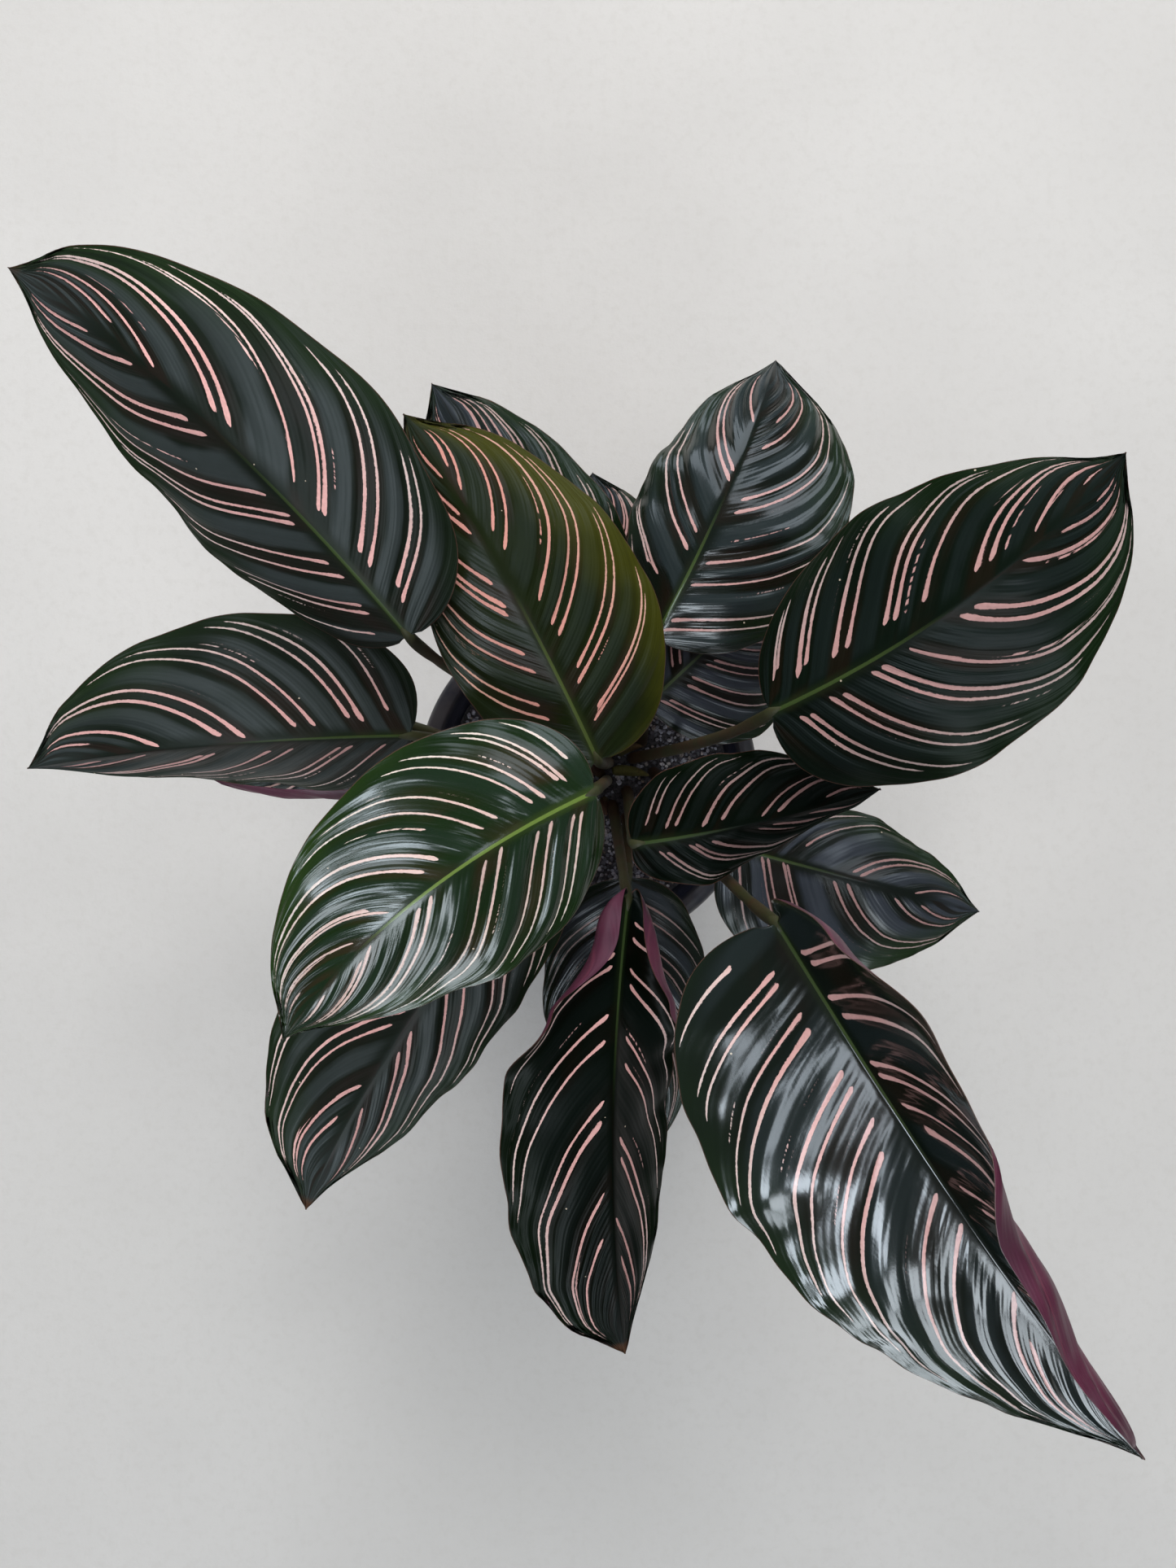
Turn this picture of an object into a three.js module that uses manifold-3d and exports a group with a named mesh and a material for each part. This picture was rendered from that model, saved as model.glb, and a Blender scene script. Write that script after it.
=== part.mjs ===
// A pinstripe calathea in its round nursery pot.
// Millimetres and degrees, +Z up. The origin is the middle of the pot's underside.

import * as THREE from "three";
import { mergeVertices } from "three/addons/utils/BufferGeometryUtils.js";
import Module from "manifold-3d";

const wasm = await Module();
wasm.setup();

// Pot
const POT_HEIGHT = 140;
const RIM_RADIUS = 80;
const BASE_RADIUS = 56;
const WALL = 1.6;
const FLOOR = 2;
const SHOULDER_HEIGHT = 125; // where the plain wall ends and the rim steps outwards
const SHOULDER_RADIUS = 70.6;
const RIM_WALL_RADIUS = 73.6; // outside of the upright band between the shoulder and the rolled lip
const LIP_DEPTH = 9; // how far the rolled lip hangs down outside
const POT_SIDES = 36; // also the sides of the medium, so that their facets line up
const DRAIN_RADIUS = 4.5;
const DRAIN_RING_RADIUS = 41;
const DRAIN_COUNT = 8;

// Growing medium
const GAP = 0.3; // between neighbouring pieces
const SOIL_TOP = 119;
const SOIL_RELIEF = 1.6; // height of the gravel's lumps
const SOIL_RINGS = 6;

// Leaves
const STALK_DEPTH = 18; // how deep a stalk stands in the medium
const STALK_FOOT_RADIUS = 2.9;
const STALK_TOP_RADIUS = 1.9;
const JOINT_SWELLING = 0.7; // the thicker joint just below the blade
const STALK_SIDES = 6;
const STALK_STEPS = 9;
const BLADE_THICKNESS = 0.9;
const RIB_DEPTH = 2.4; // blade and midrib together, under the middle line
const BLADE_STATIONS = 13;
const BLADE_START = 0.002; // first and last station, as parts of the blade's length
const BLADE_END = 0.988;
const FLAT_COLUMNS = [0.07, 0.4, 0.75, 1]; // parts of the half width
const CURLED_COLUMNS = [0.07, 0.36, 0.52, 0.68, 0.84, 1];
const CURL_NEEDS_COLUMNS = 60;
const MOST_CURL = 185; // a margin that curls further lies back flat
const SECTION_STEPS = 40; // small steps that a cross-section is bent in
const SHAPE_AT_BASE = 0.5; // powers of the blade's outline
const SHAPE_AT_TIP = 0.8;
const TIP_PINCH = 0.35; // how much the last stretch narrows to a drawn-out tip
const TIP_PINCH_START = 0.85;
const SIDE_WAVE_SHIFT = 0.35; // the right margin's waves lag behind the left ones

const UP = new THREE.Vector3(0, 0, 1);

// One half of a blade. Width runs along the surface. Fold and curl are the slope at the midrib and the
// slope that the margin gains on it, up being positive, at even steps from the base to the tip.
const half = (width, fold, curl) => ({ width, fold, curl });

// base and tip: the midrib's ends. arch and bow: how far its middle rises and moves to the left.
// roll: how far the blade turns round its midrib, left side up, at the base and at the tip.
// lobe: how far the base's lobes reach back, as a part of the length. wave: height, count and phase.
// foot: where the stalk stands. handle: what the stalk bends towards before it meets the blade.
const LEAVES = {
  leaf_01: {
    base: [-63, 49, 276], tip: [-194, 170, 300], arch: 24, bow: -7, roll: [-28, -28],
    left: half(51, [-18, -20, -10], [-12, -12, -12]),
    right: half(45.5, [-25, -12, -5], [-12, -12, -12]),
    lobe: 0.2, shapeAtTip: 0.9, wave: [1.6, 3.4, 0.1], foot: [-1, 14], handle: [-65, 47, 205],
  },
  leaf_02: {
    base: [4, 6, 246], tip: [-67, 132, 268], arch: 12, bow: -3, roll: [0, 0],
    left: half(34.5, [-8, -8, -8], [-8, -8, -8]),
    right: half(51, [-18, -18, -18], [-12, -12, -12]),
    lobe: 0.3, wave: [1.2, 3, 0.3], foot: [10, 8], handle: [8, 4, 215],
  },
  leaf_03: {
    base: [-68, 16, 236], tip: [-217, 3, 238], arch: 16, bow: -2, roll: [-20, -20],
    left: half(50, [-40, -52, -56], [-6, -6, -6]),
    right: half(48, [-15, -12, -8], [-10, -10, -10]),
    lobe: 0.3, shapeAtTip: 0.85, wave: [1.6, 3.2, 0.6], foot: [-6, 6], handle: [-38, 12, 210],
  },
  leaf_04: {
    base: [3, -5, 285], tip: [-106, -92, 285], arch: 20, bow: -9, roll: [-14, -14],
    left: half(44, [-10, -10, -10], [-15, -15, -15]),
    right: half(44, [-12, -12, -12], [-15, -15, -15]),
    lobe: 0.25, shapeAtTip: 0.85, wave: [1.2, 3.1, 0.8], foot: [9, -1], handle: [7, -1, 245],
  },
  leaf_05: {
    base: [-13, -27, 225], tip: [-117, -180, 205], arch: 14, bow: -8, roll: [0, 0],
    left: half(35, [-20, -20, -22, -32, -50], [-15, -15, -15]),
    right: half(54.5, [-18, -18, -14, -10, -8], [-13, -13, -13]),
    lobe: 0.3, shapeAtTip: 0.65, wave: [1.8, 4.2, 0], foot: [1, -7], handle: [-5, -18, 200],
  },
  leaf_06: {
    base: [16, -47, 232], tip: [16, -242, 200], arch: 18, bow: -6, roll: [-14, -10],
    left: half(42, [-40, -45, -46, -46, -46, -46, -46, -45, -45], [600, 520, 230, 20, 10, 5, 0, -5, -10]),
    right: half(44, [10, 10, 4, 2, 2, 0, -2, -4, -6], [350, 350, 110, 0, 0, 0, -5, -8, -10]),
    lobe: 0.3, shapeAtTip: 0.6, wave: [1.8, 5.1, 0.2], foot: [12, -13], handle: [13, -31, 215],
  },
  leaf_07: {
    base: [17, -43, 190], tip: [24, -172, 175], arch: 6, bow: 0, roll: [0, 0],
    left: half(35, [-20, -20, -20], [-10, -10, -10]),
    right: half(40, [-10, -10, -10], [-10, -10, -10]),
    lobe: 0.1, wave: [1.5, 3.4, 0.5], foot: [19, -19], handle: [18, -36, 165],
  },
  leaf_08: {
    base: [61, -47, 310], tip: [174, -214, 325], arch: 16, bow: -4, roll: [0, 0],
    left: half(52, [62, 66, 68, 77, 82], [105, 60, 20, 35, 92, 84, 72, 60, 50]),
    right: half(61, [-8, -8, -22], [-12, -12, -12]),
    lobe: 0.3, shapeAtTip: 0.98, wave: [1.8, 4.6, 0.4], foot: [28, -7], handle: [61, -49, 215],
  },
  leaf_09: {
    base: [58, -28, 205], tip: [168, -57, 190], arch: 10, bow: 0, roll: [0, 0],
    left: half(31, [-20, -20, -20], [-20, -20, -20]),
    right: half(45, [-12, -12, -12], [-15, -15, -15]),
    lobe: 0.3, wave: [1.5, 3, 0.7], foot: [32, 3], handle: [47, -14, 172],
  },
  leaf_10: {
    base: [17, -25, 252], tip: [108, -4, 262], arch: 5, bow: -2, roll: [0, 0],
    left: half(31, [-20, -20, -20], [-20, -20, -20]),
    right: half(22, [-18, -22, -50, -60, -50], [-12, -12, -12]),
    lobe: 0.3, wave: [1.3, 3.7, 0.15], foot: [19, -6], handle: [17, -20, 215],
  },
  leaf_11: {
    base: [63, 22, 284], tip: [164, 99, 335], arch: 14, bow: -7, roll: [0, 0],
    left: half(48, [-25, -25, -25], [-15, -15, -15]),
    right: half(49, [-6, -8, -12], [-15, -15, -15]),
    lobe: 0.3, wave: [1.5, 3.3, 0.9], foot: [22, 10], handle: [54, 13, 232],
  },
  leaf_12: {
    base: [26, 54, 232], tip: [79, 176, 198], arch: 20, bow: -3, roll: [0, 0],
    left: half(37, [-25, -25, -25], [-20, -20, -20]),
    right: half(53, [-12, -5, -5], [-15, -15, -15]),
    lobe: 0.08, shapeAtTip: 0.62, wave: [1.8, 3.5, 0.35], foot: [16, 26], handle: [12, 35, 205],
  },
  leaf_13: {
    base: [25, 31, 190], tip: [93, 94, 182], arch: 6, bow: 0, roll: [0, 0],
    left: half(28, [-10, -10, -10], [-10, -10, -10]),
    right: half(44, [-10, -10, -10], [-10, -10, -10]),
    lobe: 0.1, wave: [1.5, 3, 0.25], foot: [26, 18], handle: [25, 25, 165],
  },
  leaf_14: {
    base: [5, 42, 205], tip: [-64, 161, 215], arch: 4, bow: 0, roll: [0, 0],
    left: half(34, [-10, -10, -10], [-10, -10, -10]),
    right: half(41, [-10, -10, -10], [-10, -10, -10]),
    lobe: 0.1, wave: [1.6, 3.2, 0.55], foot: [7, 17], handle: [5, 36, 180],
  },
  leaf_15: {
    base: [16, 46, 166], tip: [2, 137, 168], arch: 4, bow: 0, roll: [0, 0],
    left: half(36, [-10, -10, -10], [-10, -10, -10]),
    right: half(36, [-10, -10, -10], [-10, -10, -10]),
    lobe: 0.3, wave: [1.4, 3, 0.65], foot: [6, 27], handle: [12, 40, 150],
  },
  leaf_16: {
    base: [-79, 24, 165], tip: [-191, 19, 160], arch: 6, bow: 0, roll: [0, 0],
    left: half(43, [-20, -20, -20], [160, 190, 130]),
    right: half(36, [-10, -10, -10], [-10, -10, -10]),
    lobe: 0.3, wave: [1, 3, 0], foot: [-13, 2], handle: [-46, 12, 172],
  },
};

const MATERIALS = {
  blade: new THREE.MeshStandardMaterial({ color: 0x15251c, roughness: 0.35 }),
  youngBlade: new THREE.MeshStandardMaterial({ color: 0x3a4a1c, roughness: 0.35 }),
  pot: new THREE.MeshStandardMaterial({ color: 0x14161d, roughness: 0.5 }),
  soil: new THREE.MeshStandardMaterial({ color: 0x6a6c72, roughness: 0.95 }),
};
const YOUNG_LEAVES = ["leaf_02", "leaf_04"];

const radians = THREE.MathUtils.degToRad;
const vector = (numbers) => new THREE.Vector3(...numbers);

// A rise from 0 to 1 with flat ends.
function ease(x) {
  const t = THREE.MathUtils.clamp(x, 0, 1);
  return t * t * (3 - 2 * t);
}

// A value at s from 0 to 1, from values given at even steps between the base and the tip.
function along(values, s) {
  const spans = values.length - 1;
  const i = Math.min(Math.floor(s * spans), spans - 1);
  return values[i] + (values[i + 1] - values[i]) * ease(s * spans - i);
}

// Half width at s as a part of the widest: rounded at the base, drawn out at the tip.
function outline(s, atTip) {
  const widest = SHAPE_AT_BASE / (SHAPE_AT_BASE + atTip);
  const base = (s / widest) ** SHAPE_AT_BASE;
  const tip = ((1 - s) / (1 - widest)) ** atTip;
  return base * tip * (1 - TIP_PINCH * ease((s - TIP_PINCH_START) / (1 - TIP_PINCH_START)));
}

// The midrib's point and direction at s, and the blade's side and normal directions there.
function midribFrame(leaf, s) {
  const chord = vector(leaf.tip).sub(vector(leaf.base));
  const left = UP.clone().cross(chord).normalize();
  const hump = UP.clone().multiplyScalar(leaf.arch).addScaledVector(left, leaf.bow);
  const point = vector(leaf.base).addScaledVector(chord, s).addScaledVector(hump, 4 * s * (1 - s));
  const tangent = chord.clone().addScaledVector(hump, 4 * (1 - 2 * s)).normalize();
  const level = UP.clone().cross(tangent).normalize();
  const above = tangent.clone().cross(level);
  const roll = radians(leaf.roll[0] + (leaf.roll[1] - leaf.roll[0]) * s);
  const side = level.clone().multiplyScalar(Math.cos(roll)).addScaledVector(above, Math.sin(roll));
  const normal = tangent.clone().cross(side);
  return { point, tangent, side, normal };
}

// The upper face's points across the blade at s, from the midrib to one margin.
// sign is 1 for the left half and -1 for the right one.
function crossSection(leaf, s, sign, columns) {
  const { point, tangent, side, normal } = midribFrame(leaf, s);
  const part = sign > 0 ? leaf.left : leaf.right;
  const shape = outline(s, leaf.shapeAtTip ?? SHAPE_AT_TIP);
  const width = part.width * shape;
  const fold = along(part.fold, s);
  const curl = along(part.curl, s);
  const length = vector(leaf.tip).distanceTo(vector(leaf.base));
  const [height, count, phase] = leaf.wave;
  const turn = 2 * Math.PI * (count * s + phase + (sign < 0 ? SIDE_WAVE_SHIFT : 0));
  const at = point.clone();
  const points = [];
  let next = 0;
  for (let k = 1; k <= SECTION_STEPS; k++) {
    const slope = radians(fold + Math.min(curl * ((k - 0.5) / SECTION_STEPS) ** 3, MOST_CURL));
    at.addScaledVector(side, (sign * Math.cos(slope) * width) / SECTION_STEPS);
    at.addScaledVector(normal, (Math.sin(slope) * width) / SECTION_STEPS);
    const v = k / SECTION_STEPS;
    if (v < columns[next] - 1e-6) continue;
    const lobe = length * leaf.lobe * Math.sqrt(s) * (1 - s) ** 5 * v ** 2;
    const wave = height * v ** 2 * Math.sin(turn) * Math.sqrt(shape);
    points.push(at.clone().addScaledVector(tangent, -lobe).addScaledVector(normal, wave));
    next += 1;
  }
  return points;
}

// A manifold solid from a list of points and triangles.
function solid(points, triangles) {
  const vertProperties = new Float32Array(points.flatMap((p) => [p.x, p.y, p.z]));
  const triVerts = new Uint32Array(triangles.flat());
  return new wasm.Manifold(new wasm.Mesh({ numProp: 3, vertProperties, triVerts }));
}

function solidOfGeometry(geometry) {
  geometry.deleteAttribute("normal");
  geometry.deleteAttribute("uv");
  const merged = mergeVertices(geometry, 1e-4);
  const vertProperties = merged.attributes.position.array;
  const triVerts = new Uint32Array(merged.index.array);
  return new wasm.Manifold(new wasm.Mesh({ numProp: 3, vertProperties, triVerts }));
}

function geometryOfSolid(made) {
  const { numProp, vertProperties, triVerts } = made.getMesh();
  const positions = [];
  for (let i = 0; i < vertProperties.length; i += numProp) {
    positions.push(vertProperties[i], vertProperties[i + 1], vertProperties[i + 2]);
  }
  const geometry = new THREE.BufferGeometry();
  geometry.setAttribute("position", new THREE.Float32BufferAttribute(positions, 3));
  geometry.setIndex([...triVerts]);
  geometry.computeVertexNormals();
  return geometry;
}

// The blade's normal at a grid point, from its neighbours.
function gridNormal(grid, i, j) {
  const rows = grid.length;
  const columns = grid[0].length;
  const alongRows = grid[Math.min(i + 1, rows - 1)][j].clone().sub(grid[Math.max(i - 1, 0)][j]);
  const acrossRow = grid[i][Math.min(j + 1, columns - 1)].clone().sub(grid[i][Math.max(j - 1, 0)]);
  return alongRows.cross(acrossRow).normalize();
}

// A thin closed sheet: the grid is its upper face, and its lower face follows at each column's depth.
function sheet(grid, depths) {
  const rows = grid.length;
  const columns = grid[0].length;
  const points = grid.flat();
  grid.forEach((row, i) =>
    row.forEach((p, j) => points.push(p.clone().addScaledVector(gridNormal(grid, i, j), -depths[j]))),
  );
  const upper = (i, j) => i * columns + j;
  const lower = (i, j) => rows * columns + upper(i, j);
  const triangles = [];
  for (let i = 0; i < rows - 1; i++) {
    for (let j = 0; j < columns - 1; j++) {
      triangles.push([upper(i, j), upper(i + 1, j), upper(i + 1, j + 1)]);
      triangles.push([upper(i, j), upper(i + 1, j + 1), upper(i, j + 1)]);
      triangles.push([lower(i, j), lower(i + 1, j + 1), lower(i + 1, j)]);
      triangles.push([lower(i, j), lower(i, j + 1), lower(i + 1, j + 1)]);
    }
  }
  const edge = (a, b, c, d) => triangles.push([a, b, c], [a, c, d]);
  for (let i = 0; i < rows - 1; i++) {
    edge(upper(i, 0), lower(i, 0), lower(i + 1, 0), upper(i + 1, 0));
    edge(upper(i + 1, columns - 1), lower(i + 1, columns - 1), lower(i, columns - 1), upper(i, columns - 1));
  }
  for (let j = 0; j < columns - 1; j++) {
    edge(upper(0, j + 1), lower(0, j + 1), lower(0, j), upper(0, j));
    edge(upper(rows - 1, j), lower(rows - 1, j), lower(rows - 1, j + 1), upper(rows - 1, j + 1));
  }
  return solid(points, triangles);
}

function bladeSolid(leaf) {
  const curls = [...leaf.left.curl, ...leaf.right.curl];
  const columns = Math.max(...curls) > CURL_NEEDS_COLUMNS ? CURLED_COLUMNS : FLAT_COLUMNS;
  const grid = [];
  for (let i = 0; i <= BLADE_STATIONS; i++) {
    const eased = (1 - Math.cos((Math.PI * i) / BLADE_STATIONS)) / 2;
    const s = BLADE_START + (BLADE_END - BLADE_START) * eased;
    const right = crossSection(leaf, s, -1, columns).reverse();
    const left = crossSection(leaf, s, 1, columns);
    grid.push([...right, midribFrame(leaf, s).point, ...left]);
  }
  const depths = grid[0].map((_, j) => (j === columns.length ? RIB_DEPTH : BLADE_THICKNESS));
  return sheet(grid, depths);
}

// The stalk's middle line: straight up out of the medium, then bending over to the blade's base.
function stalkLine(leaf) {
  const foot = new THREE.Vector3(leaf.foot[0], leaf.foot[1], SOIL_TOP);
  const base = vector(leaf.base);
  const handle = vector(leaf.handle);
  const straight = foot.clone().addScaledVector(UP, (base.z - SOIL_TOP) / 4);
  const curve = new THREE.CubicBezierCurve3(foot, straight, handle, base);
  const { tangent, normal } = midribFrame(leaf, BLADE_START);
  const points = [foot.clone().addScaledVector(UP, GAP - STALK_DEPTH), ...curve.getPoints(STALK_STEPS)];
  points.forEach((p, i) => {
    const t = Math.max(0, (i - 1) / STALK_STEPS);
    p.addScaledVector(normal, -0.5 * RIB_DEPTH * t ** 4);
  });
  const end = base.clone().addScaledVector(tangent, 5).addScaledVector(normal, -0.5 * RIB_DEPTH);
  return [...points, end];
}

// A closed round tube along a line of points, with a radius at each.
function tube(line, radii, sides) {
  const points = [];
  const triangles = [];
  let across = new THREE.Vector3(1, 0, 0);
  line.forEach((p, i) => {
    const ahead = line[Math.min(i + 1, line.length - 1)];
    const behind = line[Math.max(i - 1, 0)];
    const tangent = ahead.clone().sub(behind).normalize();
    across = across.clone().addScaledVector(tangent, -across.dot(tangent)).normalize();
    const other = tangent.clone().cross(across);
    for (let k = 0; k < sides; k++) {
      const angle = (2 * Math.PI * k) / sides;
      const ring = p.clone().addScaledVector(across, radii[i] * Math.cos(angle));
      points.push(ring.addScaledVector(other, radii[i] * Math.sin(angle)));
    }
  });
  const at = (i, k) => i * sides + (k % sides);
  for (let i = 0; i < line.length - 1; i++) {
    for (let k = 0; k < sides; k++) {
      triangles.push([at(i, k), at(i, k + 1), at(i + 1, k + 1)]);
      triangles.push([at(i, k), at(i + 1, k + 1), at(i + 1, k)]);
    }
  }
  for (let k = 1; k < sides - 1; k++) {
    triangles.push([at(0, 0), at(0, k + 1), at(0, k)]);
    triangles.push([at(line.length - 1, 0), at(line.length - 1, k), at(line.length - 1, k + 1)]);
  }
  return solid(points, triangles);
}

function stalkSolid(leaf) {
  const line = stalkLine(leaf);
  const radii = line.map((_, i) => {
    const t = THREE.MathUtils.clamp((i - 1) / STALK_STEPS, 0, 1);
    const swelling = JOINT_SWELLING * Math.exp(-(((t - 0.92) / 0.08) ** 2));
    return STALK_FOOT_RADIUS + (STALK_TOP_RADIUS - STALK_FOOT_RADIUS) * t + swelling;
  });
  radii[radii.length - 1] = STALK_TOP_RADIUS / 2;
  return tube(line, radii, STALK_SIDES);
}

function leafMesh(name) {
  const leaf = LEAVES[name];
  const geometry = geometryOfSolid(bladeSolid(leaf).add(stalkSolid(leaf)));
  const material = YOUNG_LEAVES.includes(name) ? MATERIALS.youngBlade : MATERIALS.blade;
  const mesh = new THREE.Mesh(geometry, material);
  mesh.name = name;
  return mesh;
}

// The radius of the pot's plain outer wall at a height.
function wallRadius(z) {
  return BASE_RADIUS + ((SHOULDER_RADIUS - BASE_RADIUS) * z) / SHOULDER_HEIGHT;
}

// A round piece from a profile of radius and height, turned about the upright axis.
function turned(profile, sides) {
  const geometry = new THREE.LatheGeometry(profile.map(([r, z]) => new THREE.Vector2(r, z)), sides);
  geometry.rotateX(Math.PI / 2);
  return solidOfGeometry(geometry);
}

function upright(radius, from, to, x, y, sides) {
  const geometry = new THREE.CylinderGeometry(radius, radius, to - from, sides);
  geometry.rotateX(Math.PI / 2);
  geometry.translate(x, y, (from + to) / 2);
  return solidOfGeometry(geometry);
}

function potMesh() {
  const lipBottom = POT_HEIGHT - LIP_DEPTH;
  const innerRim = RIM_WALL_RADIUS - WALL;
  const profile = [
    [0, 0],
    [BASE_RADIUS - 1, 0],
    [BASE_RADIUS, 1],
    [SHOULDER_RADIUS, SHOULDER_HEIGHT],
    [RIM_WALL_RADIUS, SHOULDER_HEIGHT + 2.5],
    [RIM_WALL_RADIUS, lipBottom + 0.5],
    [RIM_RADIUS - 1.6, lipBottom],
    [RIM_RADIUS - 0.3, lipBottom + 1.2],
    [RIM_RADIUS, lipBottom + 3.5],
    [RIM_RADIUS - 1, POT_HEIGHT - 2.2],
    [RIM_RADIUS - 2.8, POT_HEIGHT - 0.5],
    [RIM_RADIUS - 4.6, POT_HEIGHT],
    [innerRim + 0.5, POT_HEIGHT],
    [innerRim, POT_HEIGHT - 0.8],
    [innerRim, SHOULDER_HEIGHT + 3.4],
    [SHOULDER_RADIUS - WALL, SHOULDER_HEIGHT + 0.6],
    [wallRadius(FLOOR) - WALL, FLOOR],
    [0, FLOOR],
  ];
  let made = turned(profile, POT_SIDES);
  for (let i = 0; i < DRAIN_COUNT; i++) {
    const angle = (2 * Math.PI * (i + 0.5)) / DRAIN_COUNT;
    const x = DRAIN_RING_RADIUS * Math.cos(angle);
    const y = DRAIN_RING_RADIUS * Math.sin(angle);
    made = made.subtract(upright(DRAIN_RADIUS, -1, FLOOR + 1, x, y, 12));
  }
  const mesh = new THREE.Mesh(geometryOfSolid(made), MATERIALS.pot);
  mesh.name = "pot";
  return mesh;
}

// Height of the gravelly surface: a few crossing waves, flat at the wall.
function gravel(x, y) {
  const lumps = Math.sin(0.41 * x + 0.9) * Math.cos(0.37 * y) + Math.sin(0.23 * x - 0.31 * y + 2);
  return 0.5 * SOIL_RELIEF * lumps;
}

function soilMesh() {
  const bottom = FLOOR + GAP;
  const wallGap = WALL + GAP + 0.05;
  const topRadius = wallRadius(SOIL_TOP) - wallGap;
  const points = [new THREE.Vector3(0, 0, SOIL_TOP + gravel(0, 0))];
  const triangles = [];
  const ring = (radius, height) => {
    for (let k = 0; k < POT_SIDES; k++) {
      const angle = (2 * Math.PI * k) / POT_SIDES;
      const x = radius * Math.cos(angle);
      const y = radius * Math.sin(angle);
      points.push(new THREE.Vector3(x, y, height(x, y)));
    }
  };
  for (let i = 1; i <= SOIL_RINGS; i++) {
    const fade = 1 - (i / SOIL_RINGS) ** 6;
    ring((topRadius * i) / SOIL_RINGS, (x, y) => SOIL_TOP + fade * gravel(x, y));
  }
  ring(wallRadius(bottom) - wallGap, () => bottom);
  points.push(new THREE.Vector3(0, 0, bottom));
  const at = (i, k) => (i === 0 ? 0 : 1 + (i - 1) * POT_SIDES + (k % POT_SIDES));
  for (let k = 0; k < POT_SIDES; k++) {
    triangles.push([0, at(1, k), at(1, k + 1)]);
    for (let i = 1; i <= SOIL_RINGS; i++) {
      triangles.push([at(i, k), at(i + 1, k), at(i + 1, k + 1)]);
      triangles.push([at(i, k), at(i + 1, k + 1), at(i, k + 1)]);
    }
    triangles.push([points.length - 1, at(SOIL_RINGS + 1, k + 1), at(SOIL_RINGS + 1, k)]);
  }
  let made = solid(points, triangles);
  const holeRadius = (STALK_FOOT_RADIUS + GAP) / Math.cos(Math.PI / STALK_SIDES);
  for (const leaf of Object.values(LEAVES)) {
    const [x, y] = leaf.foot;
    made = made.subtract(upright(holeRadius, SOIL_TOP - STALK_DEPTH, SOIL_TOP + 9, x, y, STALK_SIDES));
  }
  const mesh = new THREE.Mesh(geometryOfSolid(made), MATERIALS.soil);
  mesh.name = "soil";
  return mesh;
}

const plant = new THREE.Group();
plant.add(potMesh(), soilMesh());
for (const name of Object.keys(LEAVES)) plant.add(leafMesh(name));

export default plant;
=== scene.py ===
"""A pinstripe calathea in its nursery pot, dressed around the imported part.

Lengths in the tables are millimetres, and every mesh is made in metres, +Z up.
"""

import math

import bmesh
import bpy
import numpy as np
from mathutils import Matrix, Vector


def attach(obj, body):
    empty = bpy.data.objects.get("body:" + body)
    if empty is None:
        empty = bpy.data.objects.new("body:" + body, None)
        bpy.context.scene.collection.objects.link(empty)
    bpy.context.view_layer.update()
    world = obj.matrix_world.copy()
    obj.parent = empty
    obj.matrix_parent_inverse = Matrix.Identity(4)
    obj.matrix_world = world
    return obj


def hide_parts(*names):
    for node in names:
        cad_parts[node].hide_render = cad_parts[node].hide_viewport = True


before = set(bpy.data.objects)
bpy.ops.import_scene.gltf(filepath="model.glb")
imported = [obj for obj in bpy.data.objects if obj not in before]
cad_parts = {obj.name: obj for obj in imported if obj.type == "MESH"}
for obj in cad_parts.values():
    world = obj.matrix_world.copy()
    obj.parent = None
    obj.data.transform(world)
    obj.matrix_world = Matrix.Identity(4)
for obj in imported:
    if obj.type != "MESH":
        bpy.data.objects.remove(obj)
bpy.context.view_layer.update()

MM = 0.001
TURN = 2 * math.pi

# Pot and medium, as in the part
POT_HEIGHT = 140
RIM_RADIUS = 80
BASE_RADIUS = 56
WALL = 1.6
FLOOR = 2
SHOULDER_HEIGHT = 125  # where the plain wall ends and the rim steps outwards
SHOULDER_RADIUS = 70.6
RIM_WALL_RADIUS = 73.6  # the upright band between the shoulder and the rolled lip
LIP_DEPTH = 9
DRAIN_RADIUS = 4.5
DRAIN_RING_RADIUS = 41
DRAIN_COUNT = 8
SOIL_TOP = 119
GAP = 0.3  # between neighbouring pieces

# Leaves, as in the part
STALK_FOOT_RADIUS = 2.9
STALK_TOP_RADIUS = 1.9
RIB_DEPTH = 2.4  # blade and midrib together, under the middle line
BLADE_START = 0.002  # first and last row, as parts of the blade's length
BLADE_END = 0.988
SHAPE_AT_BASE = 0.5  # powers of the blade's outline
SHAPE_AT_TIP = 0.8
TIP_PINCH = 0.35  # how much the last stretch narrows to a drawn-out tip
TIP_PINCH_START = 0.85
SIDE_WAVE_SHIFT = 0.35  # the right margin's waves lag behind the left ones
MOST_CURL = 185  # a margin that curls further lies back flat

# Finer shape of the leaves
BLADE_ROWS = 170
HALF_COLUMNS = 40
HIDDEN_ROWS = 100
HIDDEN_COLUMNS = 24
HIDDEN_LEAVES = ("leaf_13", "leaf_14", "leaf_15", "leaf_16")
SECTION_STEPS = 80  # small steps that a cross-section is bent in
BLADE_THICKNESS = 0.55
STALK_RINGS = 44
STALK_SIDES = 16
STALK_DEPTH = 12  # how deep a stalk stands in the medium
JOINT_SWELLING = 0.35  # the thicker joint just below the blade
JOINT_NECK = 0.25  # the narrow ring under that joint
TIP_NARROWS = (0.90, 0.07, 0.5)  # where the tip begins to narrow, over how far and by how much
TIP_CLOSES = (0.965, 0.85)  # where it begins to close, and by how much
HIGHEST = 380.6  # no leaf rises above this
HEADROOM = 4  # the last millimetres below it are flattened
RIPPLE = 0.35  # how far the margin's waves also move in and out, as a part of their height
QUICK_WAVES = (10.5, 2.3)  # small quick waves of the margin, and how often they grow and fade
CALM_MARGIN = 0.2  # their height where a leaf's row gives no ruffle
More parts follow.
